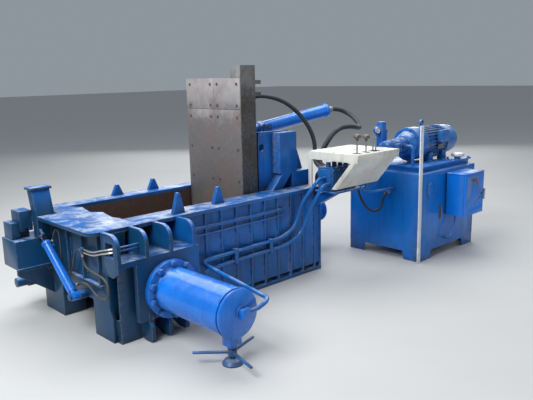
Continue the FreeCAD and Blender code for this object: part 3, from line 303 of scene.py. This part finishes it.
# ---------------------------------------------------------------- materials
BLUE = ((0.002, 0.088, 0.33), (0.003, 0.150, 0.56))
M = {
    "press_blue": paint("press_blue", *BLUE, dust=0.85, chips=0.75, corner_shade_and_grime=0.85, front=0.7),
    "cylinder_blue": paint("cylinder_blue", (0.002, 0.14, 0.60), (0.006, 0.21, 0.82), dust=0.25,
                           chips=0.35, corner_shade_and_grime=0.5, rough=0.2, coat=0.5),
    "lid_paint": steel("lid_paint", (0.13, 0.128, 0.13), (0.05, 0.048, 0.048), tint=(0.06, 0.04, 0.028),
                       tinted=0.7, rough=0.5, metal=0.35, grain=(1, 9, 0.6), scale=6.0, seam=1.56),
    "valve_paint": paint("valve_paint", (0.008, 0.08, 0.27), (0.016, 0.14, 0.42), dust=0.7, corner_shade_and_grime=0.9),
    "tank_blue": paint("tank_blue", (0.001, 0.14, 0.53), (0.002, 0.18, 0.66), dust=0.5, chips=0.4, corner_shade_and_grime=0.5,
                       rough=0.28, coat=0.3, dust_and_sheen_colour=(0.25, 0.27, 0.28)),
    "cabinet_blue": paint("cabinet_blue", (0.001, 0.17, 0.68), (0.002, 0.20, 0.78), dust=0.8, chips=0.3,
                          corner_shade_and_grime=0.4, rough=0.27, coat=0.3, dust_and_sheen_colour=(0.6, 0.64, 0.68)),
    "motor_blue": paint("motor_blue", (0.01, 0.12, 0.42), (0.016, 0.18, 0.56), dust=0.9, chips=0.5, corner_shade_and_grime=0.8,
                        rough=0.24, coat=0.5, dust_and_sheen_colour=(0.5, 0.55, 0.62)),
    "pump_iron": paint("pump_iron", (0.012, 0.10, 0.36), (0.03, 0.17, 0.5), dust=0.8, chips=0.7, corner_shade_and_grime=0.9,
                       rough=0.26, coat=0.4),
    "tower_paint": paint("tower_paint", (0.012, 0.10, 0.38), (0.02, 0.15, 0.52), dust=0.5, chips=0.4,
                         corner_shade_and_grime=0.8),
    "jack_steel": paint("jack_steel", (0.012, 0.075, 0.26), (0.02, 0.12, 0.36), dust=0.5, chips=1.0,
                        corner_shade_and_grime=0.8),
    "hood_paint": paint("hood_paint", (0.62, 0.60, 0.52), (0.80, 0.79, 0.73), dust=0.1, chips=0.35, corner_shade_and_grime=0.5,
                        rough=0.35, coat=0.2),
    "post_paint": paint("post_paint", (0.70, 0.73, 0.78), (0.86, 0.88, 0.9), dust=0.1, chips=0.5, corner_shade_and_grime=0.3),
    "liner_steel": steel("liner_steel", (0.17, 0.12, 0.10), (0.05, 0.033, 0.028), tint=(0.085, 0.035, 0.02),
                         tinted=0.8, rough=0.6, metal=0.5, grain=(14, 14, 1)),
    "ram_steel": steel("ram_steel", (0.26, 0.22, 0.20), (0.07, 0.05, 0.045), tint=(0.10, 0.045, 0.03),
                       tinted=0.6, rough=0.5, metal=0.7),
    "wear_steel": steel("wear_steel", (0.27, 0.255, 0.255), (0.11, 0.10, 0.10), tint=(0.17, 0.105, 0.09),
                        tinted=0.5, rough=0.5, metal=0.45, grain=(1, 9, 0.6), scale=5.0, seam=1.39),
    "wear_bolt": steel("wear_bolt", (0.12, 0.11, 0.11), (0.05, 0.045, 0.045), rough=0.5, metal=0.4),
    "bolt_steel": paint("bolt_steel", (0.004, 0.12, 0.46), (0.008, 0.2, 0.7), dust=0.5, chips=1.0, corner_shade_and_grime=0.9,
                        coat=0.3),
    "rotor_steel": steel("rotor_steel", (0.3, 0.3, 0.3), (0.1, 0.1, 0.1), tinted=0.3),
    "gauge_metal": steel("gauge_metal", (0.34, 0.36, 0.38), (0.16, 0.18, 0.2), tinted=0.3, rough=0.35),
    "fitting_steel": steel("fitting_steel", (0.55, 0.54, 0.5), (0.25, 0.23, 0.2), tint=(0.2, 0.13, 0.06),
                           tinted=0.35, rough=0.3),
    "rod_chrome": chrome("rod_chrome"),
    "cap_metal": steel("cap_metal", (0.86, 0.86, 0.87), (0.6, 0.6, 0.62), tinted=0.1, rough=0.25, metal=0.6),
    "handle_metal": chrome("handle_metal", (0.75, 0.75, 0.77)),
    "hose_rubber": rubber("hose_rubber", (0.014, 0.018, 0.026)),
    "hose_dusty": rubber("hose_dusty", (0.045, 0.042, 0.04), (0.2, 0.185, 0.165)),
    "button_green": plastic("button_green", (0.02, 0.30, 0.07)),
    "button_red": plastic("button_red", (0.55, 0.03, 0.02)),
    "dial_white": plastic("dial_white", (0.82, 0.82, 0.78), 0.3),
    "dial_black": plastic("dial_black", (0.02, 0.02, 0.02), 0.4),
}


def lever_material(name, knob_from):
    """Steel stem, with a dusty brown knob above the given level."""
    g = Graph(name)
    grain = g.noise(80, 5, 0.7, stretch=(4, 4, 1))
    bare = g.mix(grain, (0.3, 0.3, 0.3), (0.66, 0.65, 0.63))
    brown = g.mix(g.noise(40, 5, 0.6), (0.05, 0.035, 0.03), (0.17, 0.13, 0.115))
    knob = g.step(g.place("Z"), knob_from, knob_from + 0.001)
    g.bump((grain, 0.1, 0.0005))
    return g.finish(g.mix(knob, bare, brown), g.maths("ADD", 0.24, g.maths("MULTIPLY", grain, 0.2)),
                    g.maths("SUBTRACT", 1.0, knob))


FIRST_RIB = -1.724


def pipe_material():
    """Painted pipes; the two small tubes are bare and bright until they reach the first rib."""
    mat = paint("pipe_painted", (0.004, 0.10, 0.36), (0.008, 0.16, 0.52), dust=0.5, corner_shade_and_grime=0.6, rough=0.24,
                coat=0.3)
    tree = mat.node_tree
    split = tree.nodes.new("ShaderNodeSeparateXYZ")
    coord = tree.nodes.new("ShaderNodeTexCoord")
    tree.links.new(coord.outputs["Object"], split.inputs[0])
    ahead_of_rib = tree.nodes.new("ShaderNodeMath")
    ahead_of_rib.operation = "LESS_THAN"
    ahead_of_rib.inputs[1].default_value = FIRST_RIB
    tree.links.new(split.outputs["X"], ahead_of_rib.inputs[0])
    bright = tree.nodes.new("ShaderNodeMix")
    bright.data_type = "RGBA"
    shader = tree.nodes["Principled BSDF"]
    tree.links.new(ahead_of_rib.outputs[0], bright.inputs[0])
    tree.links.new(shader.inputs["Base Color"].links[0].from_socket, bright.inputs[6])
    bright.inputs[7].default_value = (0.72, 0.70, 0.66, 1)
    tree.links.new(bright.outputs[2], shader.inputs["Base Color"])
    tree.links.new(ahead_of_rib.outputs[0], shader.inputs["Metallic"])
    return mat


M["rigid_pipes"] = pipe_material()
for lever, knob_from in (("lever_1", 1.128), ("lever_2", 1.116), ("lever_3", 2.0), ("lever_4", 2.0)):
    M[lever] = lever_material(lever + "_steel", knob_from)
for entry in frame["record"]["subparts"]:
    obj = frame["nodes"][entry["node"]]
    finish = M[entry["node"] if entry["node"] in M else entry["material_slot"]]
    for slot in obj.material_slots:
        slot.material = finish
    if not obj.material_slots:
        obj.data.materials.append(finish)

# Width in millimetres of the rounded edge on each frame node that shows one.
BEVELS = {"near_wall": 3, "far_wall": 3, "end_frame": 3, "cover_plate": 4, "side_bracket": 3, "lid_frame": 4,
          "lid_tower": 3, "turn_frame": 4, "turn_bucket": 3, "turn_door": 3, "turn_mounts": 3,
          "lid_guides": 5,
          "tank": 2, "tank_deck": 3, "cabinet": 1.2, "cabinet_door": 2.5, "valve_bank": 3, "valve_bracket": 2,
          "valve_tower": 3, "motor_body": 1.5, "side_cylinder": 3, "main_cylinder": 3, "lid_barrel": 3,
          "turn_barrel": 2, "lid_rod": 2, "turn_rod": 2, "main_ram": 5, "side_ram": 5, "rear_frame": 3,
          "floor_frame": 3, "corner_post": 1.5, "door_handle": 2, "pump": 2, "bell_housing": 2,
          "jack_screw": 2,
          "side_bolts": 1.5, "pipe_clamps": 2, "lid_wear_plates": 1.5, "hood": 0.8}
for name, width in BEVELS.items():
    join = frame["nodes"][name].modifiers.new("join", "WELD")
    join.merge_threshold = 0.00002
    modifier = frame["nodes"][name].modifiers.new("edge", "BEVEL")
    modifier.width = width / 1000
    modifier.segments = 2
    modifier.limit_method = "ANGLE"
    modifier.angle_limit = math.radians(40)
    modifier.harden_normals = False
    modifier.use_clamp_overlap = True
for obj in frame["nodes"].values():
    for face in obj.data.polygons:
        face.use_smooth = True
    obj.data.set_sharp_from_angle(angle=math.radians(32))


# ---------------------------------------------------------------- mesh helpers
def piece(name, mesh, material, body, smooth=True):
    obj = bpy.data.objects.new(name, mesh)
    bpy.context.collection.objects.link(obj)
    mesh.materials.clear()
    mesh.materials.append(M[material])
    if smooth:
        for face in mesh.polygons:
            face.use_smooth = True
        mesh.set_sharp_from_angle(angle=math.radians(34))
    if body:
        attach(obj, body)
    return obj


def from_bm(bm, name):
    bmesh.ops.recalc_face_normals(bm, faces=bm.faces)
    mesh = bpy.data.meshes.new(name)
    bm.to_mesh(mesh)
    bm.free()
    return mesh


def basis(direction):
    """Matrix whose Z column is the direction."""
    return direction.normalized().to_track_quat("Z", "Y").to_matrix().to_4x4()


def turned(bm, origin, direction, profile, sides=24):
    """Adds a closed turned solid: profile pairs are (radius, distance) in metres."""
    frame_at = Matrix.Translation(origin) @ basis(direction)
    rings = []
    for radius, along in profile:
        if radius < 1e-6:
            rings.append([bm.verts.new(frame_at @ Vector((0, 0, along)))])
            continue
        rings.append([bm.verts.new(frame_at @ Vector((radius * math.cos(2 * math.pi * k / sides),
                                                      radius * math.sin(2 * math.pi * k / sides), along)))
                      for k in range(sides)])
    for low, high in zip(rings, rings[1:]):
        for k in range(sides):
            j = (k + 1) % sides
            if len(low) == 1:
                bm.faces.new((low[0], high[j], high[k]))
            elif len(high) == 1:
                bm.faces.new((low[k], low[j], high[0]))
            else:
                bm.faces.new((low[k], low[j], high[j], high[k]))


def hex_head(bm, origin, direction, across, height, washer=0.0):
    """Adds a hexagon head with chamfered corners, on a washer if asked."""
    if washer:
        turned(bm, origin, direction,
               [(0, 0), (washer, 0), (washer, 0.0022), (washer * 0.5, 0.0026), (0, 0.0026)])
        origin = origin + direction.normalized() * 0.0024
    r = across / math.sqrt(3)
    turned(bm, origin, direction, [(0, 0), (r, 0), (r, height * 0.82), (r * 0.86, height), (0, height)], 6)


def bead(bm, points, radius, closed=False):
    """Adds a rippled weld bead along points."""
    path = []
    count = len(points)
    for i in range(count if closed else count - 1):
        a, b = points[i], points[(i + 1) % count]
        steps = max(2, int((b - a).length / (radius * 0.9)))
        path += [a.lerp(b, k / steps) for k in range(steps)]
    if not closed:
        path.append(points[-1])
    rings = []
    total = len(path)
    for i, p in enumerate(path):
        before = path[i - 1] if (i or closed) else p
        after = path[(i + 1) % total] if (i + 1 < total or closed) else p
        turn_at = Matrix.Translation(p) @ basis(after - before)
        size = radius * (1.0 + 0.16 * (-1) ** i + random.uniform(-0.08, 0.08))
        if not closed and i in (0, total - 1):
            size *= 0.5
        rings.append([bm.verts.new(turn_at @ Vector((size * math.cos(math.pi * k / 4),
                                                     size * math.sin(math.pi * k / 4), 0)))
                      for k in range(8)])
    pairs = list(zip(rings, rings[1:])) + ([(rings[-1], rings[0])] if closed else [])
    for low, high in pairs:
        for k in range(8):
            j = (k + 1) % 8
            bm.faces.new((low[k], low[j], high[j], high[k]))
    if not closed:
        bm.faces.new(rings[0][::-1])
        bm.faces.new(rings[-1])


def ring_points(centre, axis, radius, count=48):
    spin = Matrix.Translation(centre) @ basis(axis)
    return [spin @ Vector((radius * math.cos(2 * math.pi * k / count),
                           radius * math.sin(2 * math.pi * k / count), 0))
            for k in range(count)]


X, Y, Z = Vector((1, 0, 0)), Vector((0, 1, 0)), Vector((0, 0, 1))

# ---------------------------------------------------------------- hoses
LID_TILT = math.atan2(40, 310)


def lid_port(along, high):
    """Point on the lid cylinder, measured in millimetres from its trunnion along and square to its line."""
    return (TRUNNION_X + along * math.cos(LID_TILT) - high * math.sin(LID_TILT), TRUNNION_Y,
            TRUNNION_Z + along * math.sin(LID_TILT) + high * math.cos(LID_TILT))


# Each hose: route and diameter in millimetres, body that its moving end rides on, finish,
# and whether the moving end comes first.
HOSES = {
    "hose_turn_rod": ([(62, 134, 560), (62, 96, 652), (62, 22, 652), (62, 20, 520), (62, 26, 376),
                       (62, -112, 372), (62, -165, 490), (62, -205, 573), (62, -275, 573)],
                      13, "turn_barrel", "hose_dusty", True),
    "hose_turn_base": ([(62, -290, 552), (62, -290, 476), (62, -390, 452), (62, -592, 440),
                        (62, -590, 302), (62, -440, 296), (62, -345, 350), (62, -258, 352), (62, -180, 318)],
                       15, "turn_barrel", "hose_dusty", False),
    "hose_lid_front": ([(2223, -535, 850), (2223, -340, 850), (2290, -320, 1120), (2080, -220, 1420),
                        (1830, -60, 1500), lid_port(-140, 230), lid_port(-140, 72)],
                       36, "lid_barrel", "hose_rubber", False),
    "hose_lid_rear": ([lid_port(904.3, 0), lid_port(1030, 0), (3080, -90, 1250), (2990, -280, 1130),
                       (2640, -420, 1190), (2420, -430, 1180), (2330, -350, 1000), (2297, -330, 850),
                       (2297, -535, 850)],
                      44, "lid_barrel", "hose_rubber", True),
    "hose_main": ([(2149, -535, 850), (2149, -430, 850), (2240, -390, 640), (2560, -120, 600),
                   (2640, 33, 590), (2640, 33, 477)],
                  30, None, "hose_rubber", False),
    "hose_tank": ([(2340, -600, 790), (2470, -600, 790), (2530, -620, 560), (2620, -660, 440),
                   (2740, -690, 450), (2770, -700, 600), (2839, -700, 600)],
                  22, None, "hose_rubber", False),
}


def spline_curve(name, points, bevel):
    curve = bpy.data.curves.new(name, "CURVE")
    curve.dimensions = "3D"
    line = curve.splines.new("NURBS")
    line.points.add(len(points) - 1)
    for spot, p in zip(line.points, points):
        spot.co = (*at(*p), 1)
    line.order_u = 3
    line.use_endpoint_u = True
    line.resolution_u = 14
    curve.bevel_depth = bevel
    curve.bevel_resolution = 5
    curve.use_fill_caps = True
    return curve


for tag, (points, size, moving, material, first_moves) in HOSES.items():
    thread = bpy.data.objects.new(tag + "_line", spline_curve(tag + "_line", points, 0))
    bpy.context.collection.objects.link(thread)
    line_mesh = bpy.data.meshes.new_from_object(thread)
    path = [v.co.copy() for v in line_mesh.vertices]
    bpy.data.objects.remove(thread)
    solid = bpy.data.objects.new(tag + "_full", spline_curve(tag + "_full", points, size / 2000))
    bpy.context.collection.objects.link(solid)
    mesh = bpy.data.meshes.new_from_object(solid)
    bpy.data.objects.remove(solid)
    obj = piece(tag + "_skin", mesh, material, None if moving else "press")
    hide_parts(tag)
    if moving:
        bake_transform(obj)
    for end, inner, mover in ((path[0], path[3], moving if first_moves else None),
                              (path[-1], path[-4], None if first_moves else moving)):
        bm = bmesh.new()
        r = size / 2000
        way = inner - end
        turned(bm, end - way.normalized() * 0.001, way,
               [(0, 0), (r * 1.25, 0), (r * 1.25, r * 1.1), (r * 1.32, r * 1.15), (r * 1.32, r * 1.5),
                (r * 1.25, r * 1.6), (r * 1.32, r * 1.8), (r * 1.32, r * 2.1), (r * 1.25, r * 2.2),
                (r * 1.32, r * 2.4), (r * 1.32, r * 2.7), (r * 1.12, r * 3.0), (0, r * 3.0)])
        hex_head(bm, end - way.normalized() * 0.0005, way, r * 3.0, r * 0.9)
        piece("%s_fitting_%d" % (tag, 0 if end == path[0] else 1), from_bm(bm, "fitting"), "fitting_steel",
              mover or "press")

# ---------------------------------------------------------------- weld beads
def welds(name, material, body, runs=(), rings=()):
    """One piece of weld beads: runs are (start, end, radius), rings (centre, axis, ring radius, radius)."""
    bm = bmesh.new()
    for start, end, radius in runs:
        bead(bm, [at(*start), at(*end)], radius / 1000)
    for centre, axis, size, radius in rings:
        bead(bm, ring_points(at(*centre), axis, size / 1000), radius / 1000, closed=True)
    return piece(name, from_bm(bm, name), material, body)


near_runs = [((x, -WALL_FACE, 62), (x, -WALL_FACE, 702), 3.2) for x in RIB_FACES]
near_runs += [((700, -WALL_FACE, RIM_UNDERSIDE), (2148, -WALL_FACE, RIM_UNDERSIDE), 3.5),
              ((700, -494, 610), (1700, -494, 611), 2.6),
              ((102, -514, 704), (268, -514, 704), 4)]
welds("wall_welds_near", "press_blue", "press", near_runs)
welds("wall_welds_far", "press_blue", "press",
      [((x, WALL_FACE, 62), (x, WALL_FACE, 702), 3.2) for x in RIB_FACES]
      + [((700, WALL_FACE, RIM_UNDERSIDE), (2148, WALL_FACE, RIM_UNDERSIDE), 3.5)])
welds("end_welds", "press_blue", "press",
      [((99, y, 373), (99, y, 690), 3.4) for y in (-471, -455, -263, -247, -61, -45)]
      + [((99, -479, 355), (99, -46, 355), 3.4), ((99, -516, 704), (99, 205, 704), 4.5)])
welds("bracket_welds", "press_blue", "press",
      [((x, -698, 561), (x, -352, 561), 4) for x in (272, 299, 452, 479, 636, 661)]
      + [((x, -701, z0), (x, -701, z1), 4)
         for x, z0, z1 in ((270, 152, 200), (298, 140, 200), (401, 140, 180),
                           (429, 140, 180), (535, 140, 200), (563, 140, 200))]
      + [((101, -548, 561), (268, -548, 561), 4), ((201, -700, 561), (270, -700, 561), 4)],
      [((SIDE_AXIS_X, -741, SIDE_AXIS_Z), Y, 146, 5)])
welds("side_cylinder_welds", "cylinder_blue", "press", (),
      [((SIDE_AXIS_X, -1331, SIDE_AXIS_Z), Y, 146.5, 4.5), ((455, -1379, 334), Y, 38, 3),
       ((593, -790, SIDE_AXIS_Z), X, 24.5, 3)])
welds("main_cylinder_welds", "cylinder_blue", "press", (),
      [((2689, MAIN_AXIS_Y, MAIN_AXIS_Z), X, 101, 4.5), ((2185, MAIN_AXIS_Y, MAIN_AXIS_Z), X, 101, 5),
       ((2640, MAIN_AXIS_Y, 455), Z, 26.5, 3)])
welds("tower_welds", "press_blue", "press",
      [((1632, y, 706), (2138, y, 706), 4) for y in (-291, -264, 330, 357)]
      + [((1792, y, 706), (2078, y, 706), 4) for y in (-61, -34, 100, 127)]
      + [((x, -291, 860), (x, -291, 1188), 3.5) for x in (1789, 1986)]
      + [((1816, y0, 708), (1816, y1, 708), 3.5) for y0, y1 in ((-264, -61), (127, 330))])
welds("lid_welds", "lid_paint", "lid",
      [((1468, y, 590), (1468, y, 1620), 3.5) for y in (-276, -214, -186, 252, 281, 342)]
      + [((1468, y0, z), (1468, y1, z), 3.2) for z in (699, 721, 859, 881, 1429, 1451, 1589, 1611)
         for y0, y1 in ((-276, -214), (-186, 252), (281, 342))])
welds("tank_welds", "tank_blue", "press",
      [((2840, y, 90), (2840, y, 775), 2.4) for y in (-1027, -270)]
      + [((3770, y, 90), (3770, y, 775), 2.4) for y in (-1027, -270)]
      + [((2936, -966, 781), (3764, -966, 781), 3), ((2936, -339, 781), (3764, -339, 781), 3),
         ((2934, -964, 781), (2934, -341, 781), 3), ((3766, -964, 781), (3766, -341, 781), 3)])
welds("turn_welds", "press_blue", "turn_out",
      [((-157, 229, 374), (96, 229, 374), 3.2), ((1, 212, 577), (1, 212, 710), 3.2),
       ((93, 212, 577), (93, 212, 710), 3.2), ((-96, 300, 577), (-96, 428, 577), 3),
       ((-2, 287, 652), (-2, 287, 762), 3), ((96, 238, 576), (96, 452, 576), 3.5)])
LID_WAY = Vector((math.cos(LID_TILT), 0, math.sin(LID_TILT)))
welds("lid_barrel_welds", "cylinder_blue", "lid_barrel", (),
      [(lid_port(859, 0), LID_WAY, 59, 3.5), (lid_port(-164, 0), LID_WAY, 59, 3.5),
       (lid_port(-31, 0), LID_WAY, 59, 3), (lid_port(31, 0), LID_WAY, 59, 3),
       (lid_port(-140, 58), Vector((-math.sin(LID_TILT), 0, math.cos(LID_TILT))), 23, 2.5)])

# ---------------------------------------------------------------- bolts, screws and plates
def bolts(name, material, body, heads):
    """One piece of hexagon heads: heads are (place, direction, across, height, washer), in millimetres."""
    bm = bmesh.new()
    for spot, way, across, height, washer in heads:
        hex_head(bm, at(*spot), way, across / 1000, height / 1000, washer / 1000)
    return piece(name, from_bm(bm, name), material, body)


def screws(name, material, body, heads):
    """One piece of round socket heads: heads are (place, direction, radius)."""
    bm = bmesh.new()
    for spot, way, radius in heads:
        r = radius / 1000
        turned(bm, at(*spot), way, [(0, 0), (r, 0), (r, r * 0.55), (r * 0.85, r * 0.8), (r * 0.5, r * 0.82),
                                    (r * 0.42, r * 0.3), (0, r * 0.28)], 16)
    return piece(name, from_bm(bm, name), material, body)


def plate(name, material, body, centre, wide, high, thick, across, upward):
    """Thin blank plate with rounded corners; across and upward are its directions."""
    bm = bmesh.new()
    turned_to = Matrix((across, upward, across.cross(upward))).transposed().to_4x4()
    spin = Matrix.Translation(at(*centre)) @ turned_to
    corner = min(wide, high) * 0.12
    outline = []
    for sx, sy, start in ((1, 1, 0), (-1, 1, 90), (-1, -1, 180), (1, -1, 270)):
        for k in range(4):
            a = math.radians(start + 30 * k)
            outline.append((sx * (wide / 2 - corner) + corner * math.cos(a),
                            sy * (high / 2 - corner) + corner * math.sin(a)))
    low = [bm.verts.new(spin @ Vector((x / 1000, y / 1000, 0))) for x, y in outline]
    high_ring = [bm.verts.new(spin @ Vector((x / 1000, y / 1000, thick / 1000))) for x, y in outline]
    count = len(outline)
    for k in range(count):
        j = (k + 1) % count
        bm.faces.new((low[k], low[j], high_ring[j], high_ring[k]))
    bm.faces.new(low[::-1])
    bm.faces.new(high_ring)
    return piece(name, from_bm(bm, name), material, body)


bolts("inspection_bolts", "tank_blue", "press",
      [((INSPECTION_X + 55 * math.cos(a), -1037, INSPECTION_Z + 55 * math.sin(a)), -Y, 10, 4, 0)
       for a in (math.pi / 4 * k + 0.3 for k in range(8))])
bolts("deck_bolts", "bolt_steel", "press",
      [((x, y, 830), Z, 19, 11, 14) for x in (2950, 3160, 3440, 3780) for y in (-955, -350)]
      + [((x, y, 830), Z, 19, 11, 14) for x in (3280, 3360, 3510, 3590) for y in (-845, -555)])
bolts("trunnion_bolts", "bolt_steel", "press",
      [((TRUNNION_X + 30 * math.cos(a), y, TRUNNION_Z + 30 * math.sin(a)), way, 13, 8, 0)
       for y, way in ((-67, -Y), (133, Y)) for a in (0.6, 2.17, 3.74, 5.31)])
bead_rim = bmesh.new()
bead(bead_rim, ring_points(at(INSPECTION_X, -1036, INSPECTION_Z), Y, 0.068), 0.003, closed=True)
piece("inspection_rim", from_bm(bead_rim, "inspection_rim"), "tank_blue", "press")
caps = bmesh.new()
for y, way in ((-60, -Y), (126, Y)):
    turned(caps, at(TRUNNION_X, y, TRUNNION_Z), way,
           [(0, 0), (0.042, 0), (0.042, 0.005), (0.040, 0.007), (0, 0.007)], 40)
piece("trunnion_caps", from_bm(caps, "trunnion_caps"), "press_blue", "press")
screws("valve_screws", "fitting_steel", "press",
       [((x + 74 * k, -715, z), -Y, 6) for k in range(4) for x in (2050, 2100) for z in (730, 887)])
screws("terminal_screws", "fitting_steel", "press",
       [((x, -890, z), -Y, 5) for x in (3404, 3516) for z in (1014, 1106)])
screws("hood_screws", "fitting_steel", "press",
       [((x, y, HOOD_TOP), Z, 5) for x in (2022, 2285, 2548) for y in (-495, -740)]
       + [((x, -989, 1017), -Y, 4.5) for x in (2030, 2285, 2540)])
screws("pump_screws", "fitting_steel", "press",
       [((2754, -700 + 36 * math.cos(a), 1000 + 36 * math.sin(a)), -X, 6) for a in (0.8, 2.37, 3.94, 5.5)])
plate("motor_plate", "gauge_metal", "press", (3455, -846, 960), 90, 46, 1.2, X,
      Vector((0, -0.27, 0.96)).normalized())
plate("valve_plate", "gauge_metal", "press", (2150, -716.5, 800), 52, 40, 1.2, X, Z)
plate("cabinet_plate", "cabinet_blue", "cabinet_door", (3330, -1222.3, 470), 90, 60, 1.0, X, Z)

# ---------------------------------------------------------------- gauge, sight glass, hood trim
dial = bmesh.new()
turned(dial, at(GAUGE_X, -486.3, GAUGE_Z), -Y, [(0, 0), (0.027, 0), (0.027, 0.0008), (0, 0.0008)], 36)
piece("gauge_dial", from_bm(dial, "gauge_dial"), "dial_white", "press")
marks = bmesh.new()
for k in range(21):
    a = math.radians(225 - 13.5 * k)
    size = 3.4 if k % 5 == 0 else 2.0
    r = 24.5 - size / 2
    spin = Matrix.Translation(at(GAUGE_X + r * math.cos(a), -487.4, GAUGE_Z + r * math.sin(a)))
    spin = spin @ Matrix.Rotation(-a, 4, "Y") @ Matrix.Diagonal((size / 1000, 0.0004, 0.0007, 1))
    bmesh.ops.create_cube(marks, size=1, matrix=spin)
needle = Matrix.Translation(at(2949, -488, 1121)) @ Matrix.Rotation(math.radians(-49), 4, "Y")
bmesh.ops.create_cone(marks, segments=4, radius1=0.0014, radius2=0.0003, depth=0.026, cap_ends=True,
                      matrix=needle @ Matrix.Rotation(math.radians(90), 4, "Y"))
turned(marks, at(GAUGE_X, GAUGE_Y, GAUGE_Z), -Y, [(0, 0), (0.0032, 0), (0.0028, 0.002), (0, 0.0022)], 16)
piece("gauge_marks", from_bm(marks, "gauge_marks"), "dial_black", "press", smooth=False)
bezel = bmesh.new()
bead(bezel, [at(GAUGE_X + 29.5 * math.cos(a), -486.5, GAUGE_Z + 29.5 * math.sin(a))
             for a in (math.pi / 24 * k for k in range(48))], 0.0026, closed=True)
piece("gauge_bezel", from_bm(bezel, "gauge_bezel"), "handle_metal", "press")

sight = bmesh.new()
turned(sight, at(3170, -1041, 364), Z, [(0, 0), (0.006, 0), (0.006, 0.082), (0, 0.082)], 20)
piece("sight_tube", from_bm(sight, "sight_tube"), "gauge_metal", "press")
boots = bmesh.new()
GASKET_SIDES = ((-13, -9, -947, -873), (9, 13, -947, -873), (-9, 9, -947, -942), (-9, 9, -878, -873))
for x in LEVERS_X:
    for dx0, dx1, y0, y1 in GASKET_SIDES:
        low, high = at(x + dx0, y0, HOOD_TOP), at(x + dx1, y1, 1035.5)
        bmesh.ops.create_cube(boots, size=1, matrix=Matrix.Translation((low + high) / 2)
                              @ Matrix.Diagonal(((high - low).x, (high - low).y, (high - low).z, 1)))
piece("slot_gaskets", from_bm(boots, "slot_gaskets"), "dial_black", "press", smooth=False)

# ---------------------------------------------------------------- light and floor
scene = bpy.context.scene
scene.view_settings.view_transform = "Standard"
world = bpy.data.worlds.new("studio")
scene.world = world
world.use_nodes = True
world.node_tree.nodes["Background"].inputs["Color"].default_value = (0.80, 0.90, 1.0, 1)
world.node_tree.nodes["Background"].inputs["Strength"].default_value = 0.34


def area(name, spot, target, size, power, colour):
    lamp = bpy.data.lights.new(name, "AREA")
    lamp.shape = "RECTANGLE"
    lamp.size, lamp.size_y = size
    lamp.energy = power
    lamp.color = colour
    obj = bpy.data.objects.new(name, lamp)
    bpy.context.collection.objects.link(obj)
    obj.matrix_world = Matrix.Translation(Vector(spot)) @ basis(Vector(spot) - Vector(target))
    obj.visible_camera = False


area("key", (-5.0, -0.6, 5.2), (0, 0, 0.5), (4, 3), 400, (0.97, 0.99, 1.0))
area("over", (1.0, 1.6, 5.8), (0.2, 0, 0.4), (7, 4), 330, (0.98, 0.99, 1.0))
area("fill", (2.5, -6.5, 3.0), (0.3, 0, 0.6), (6, 4), 40, (1.0, 0.99, 0.97))
area("back", (6.5, 6.0, 2.4), (0.2, 0, 0.7), (9, 2.4), 170, (0.98, 0.99, 1.0))

floor_bm = bmesh.new()
bmesh.ops.create_grid(floor_bm, x_segments=1, y_segments=1, size=60)
floor_mesh = from_bm(floor_bm, "floor")
floor = bpy.data.objects.new("floor", floor_mesh)
bpy.context.collection.objects.link(floor)
pale = Graph("floor_pale")
pale.bump((pale.noise(60, 3, 0.6), 0.05, 0.001))
pale_colour = pale.mix(pale.noise(1.5, 3, 0.5), (0.50, 0.50, 0.49), (0.55, 0.55, 0.54))
pale_rough = pale.maths("ADD", 0.6, pale.maths("MULTIPLY", pale.noise(9), 0.2))
floor_mesh.materials.append(pale.finish(pale_colour, pale_rough))
floor.location.z = -0.0005
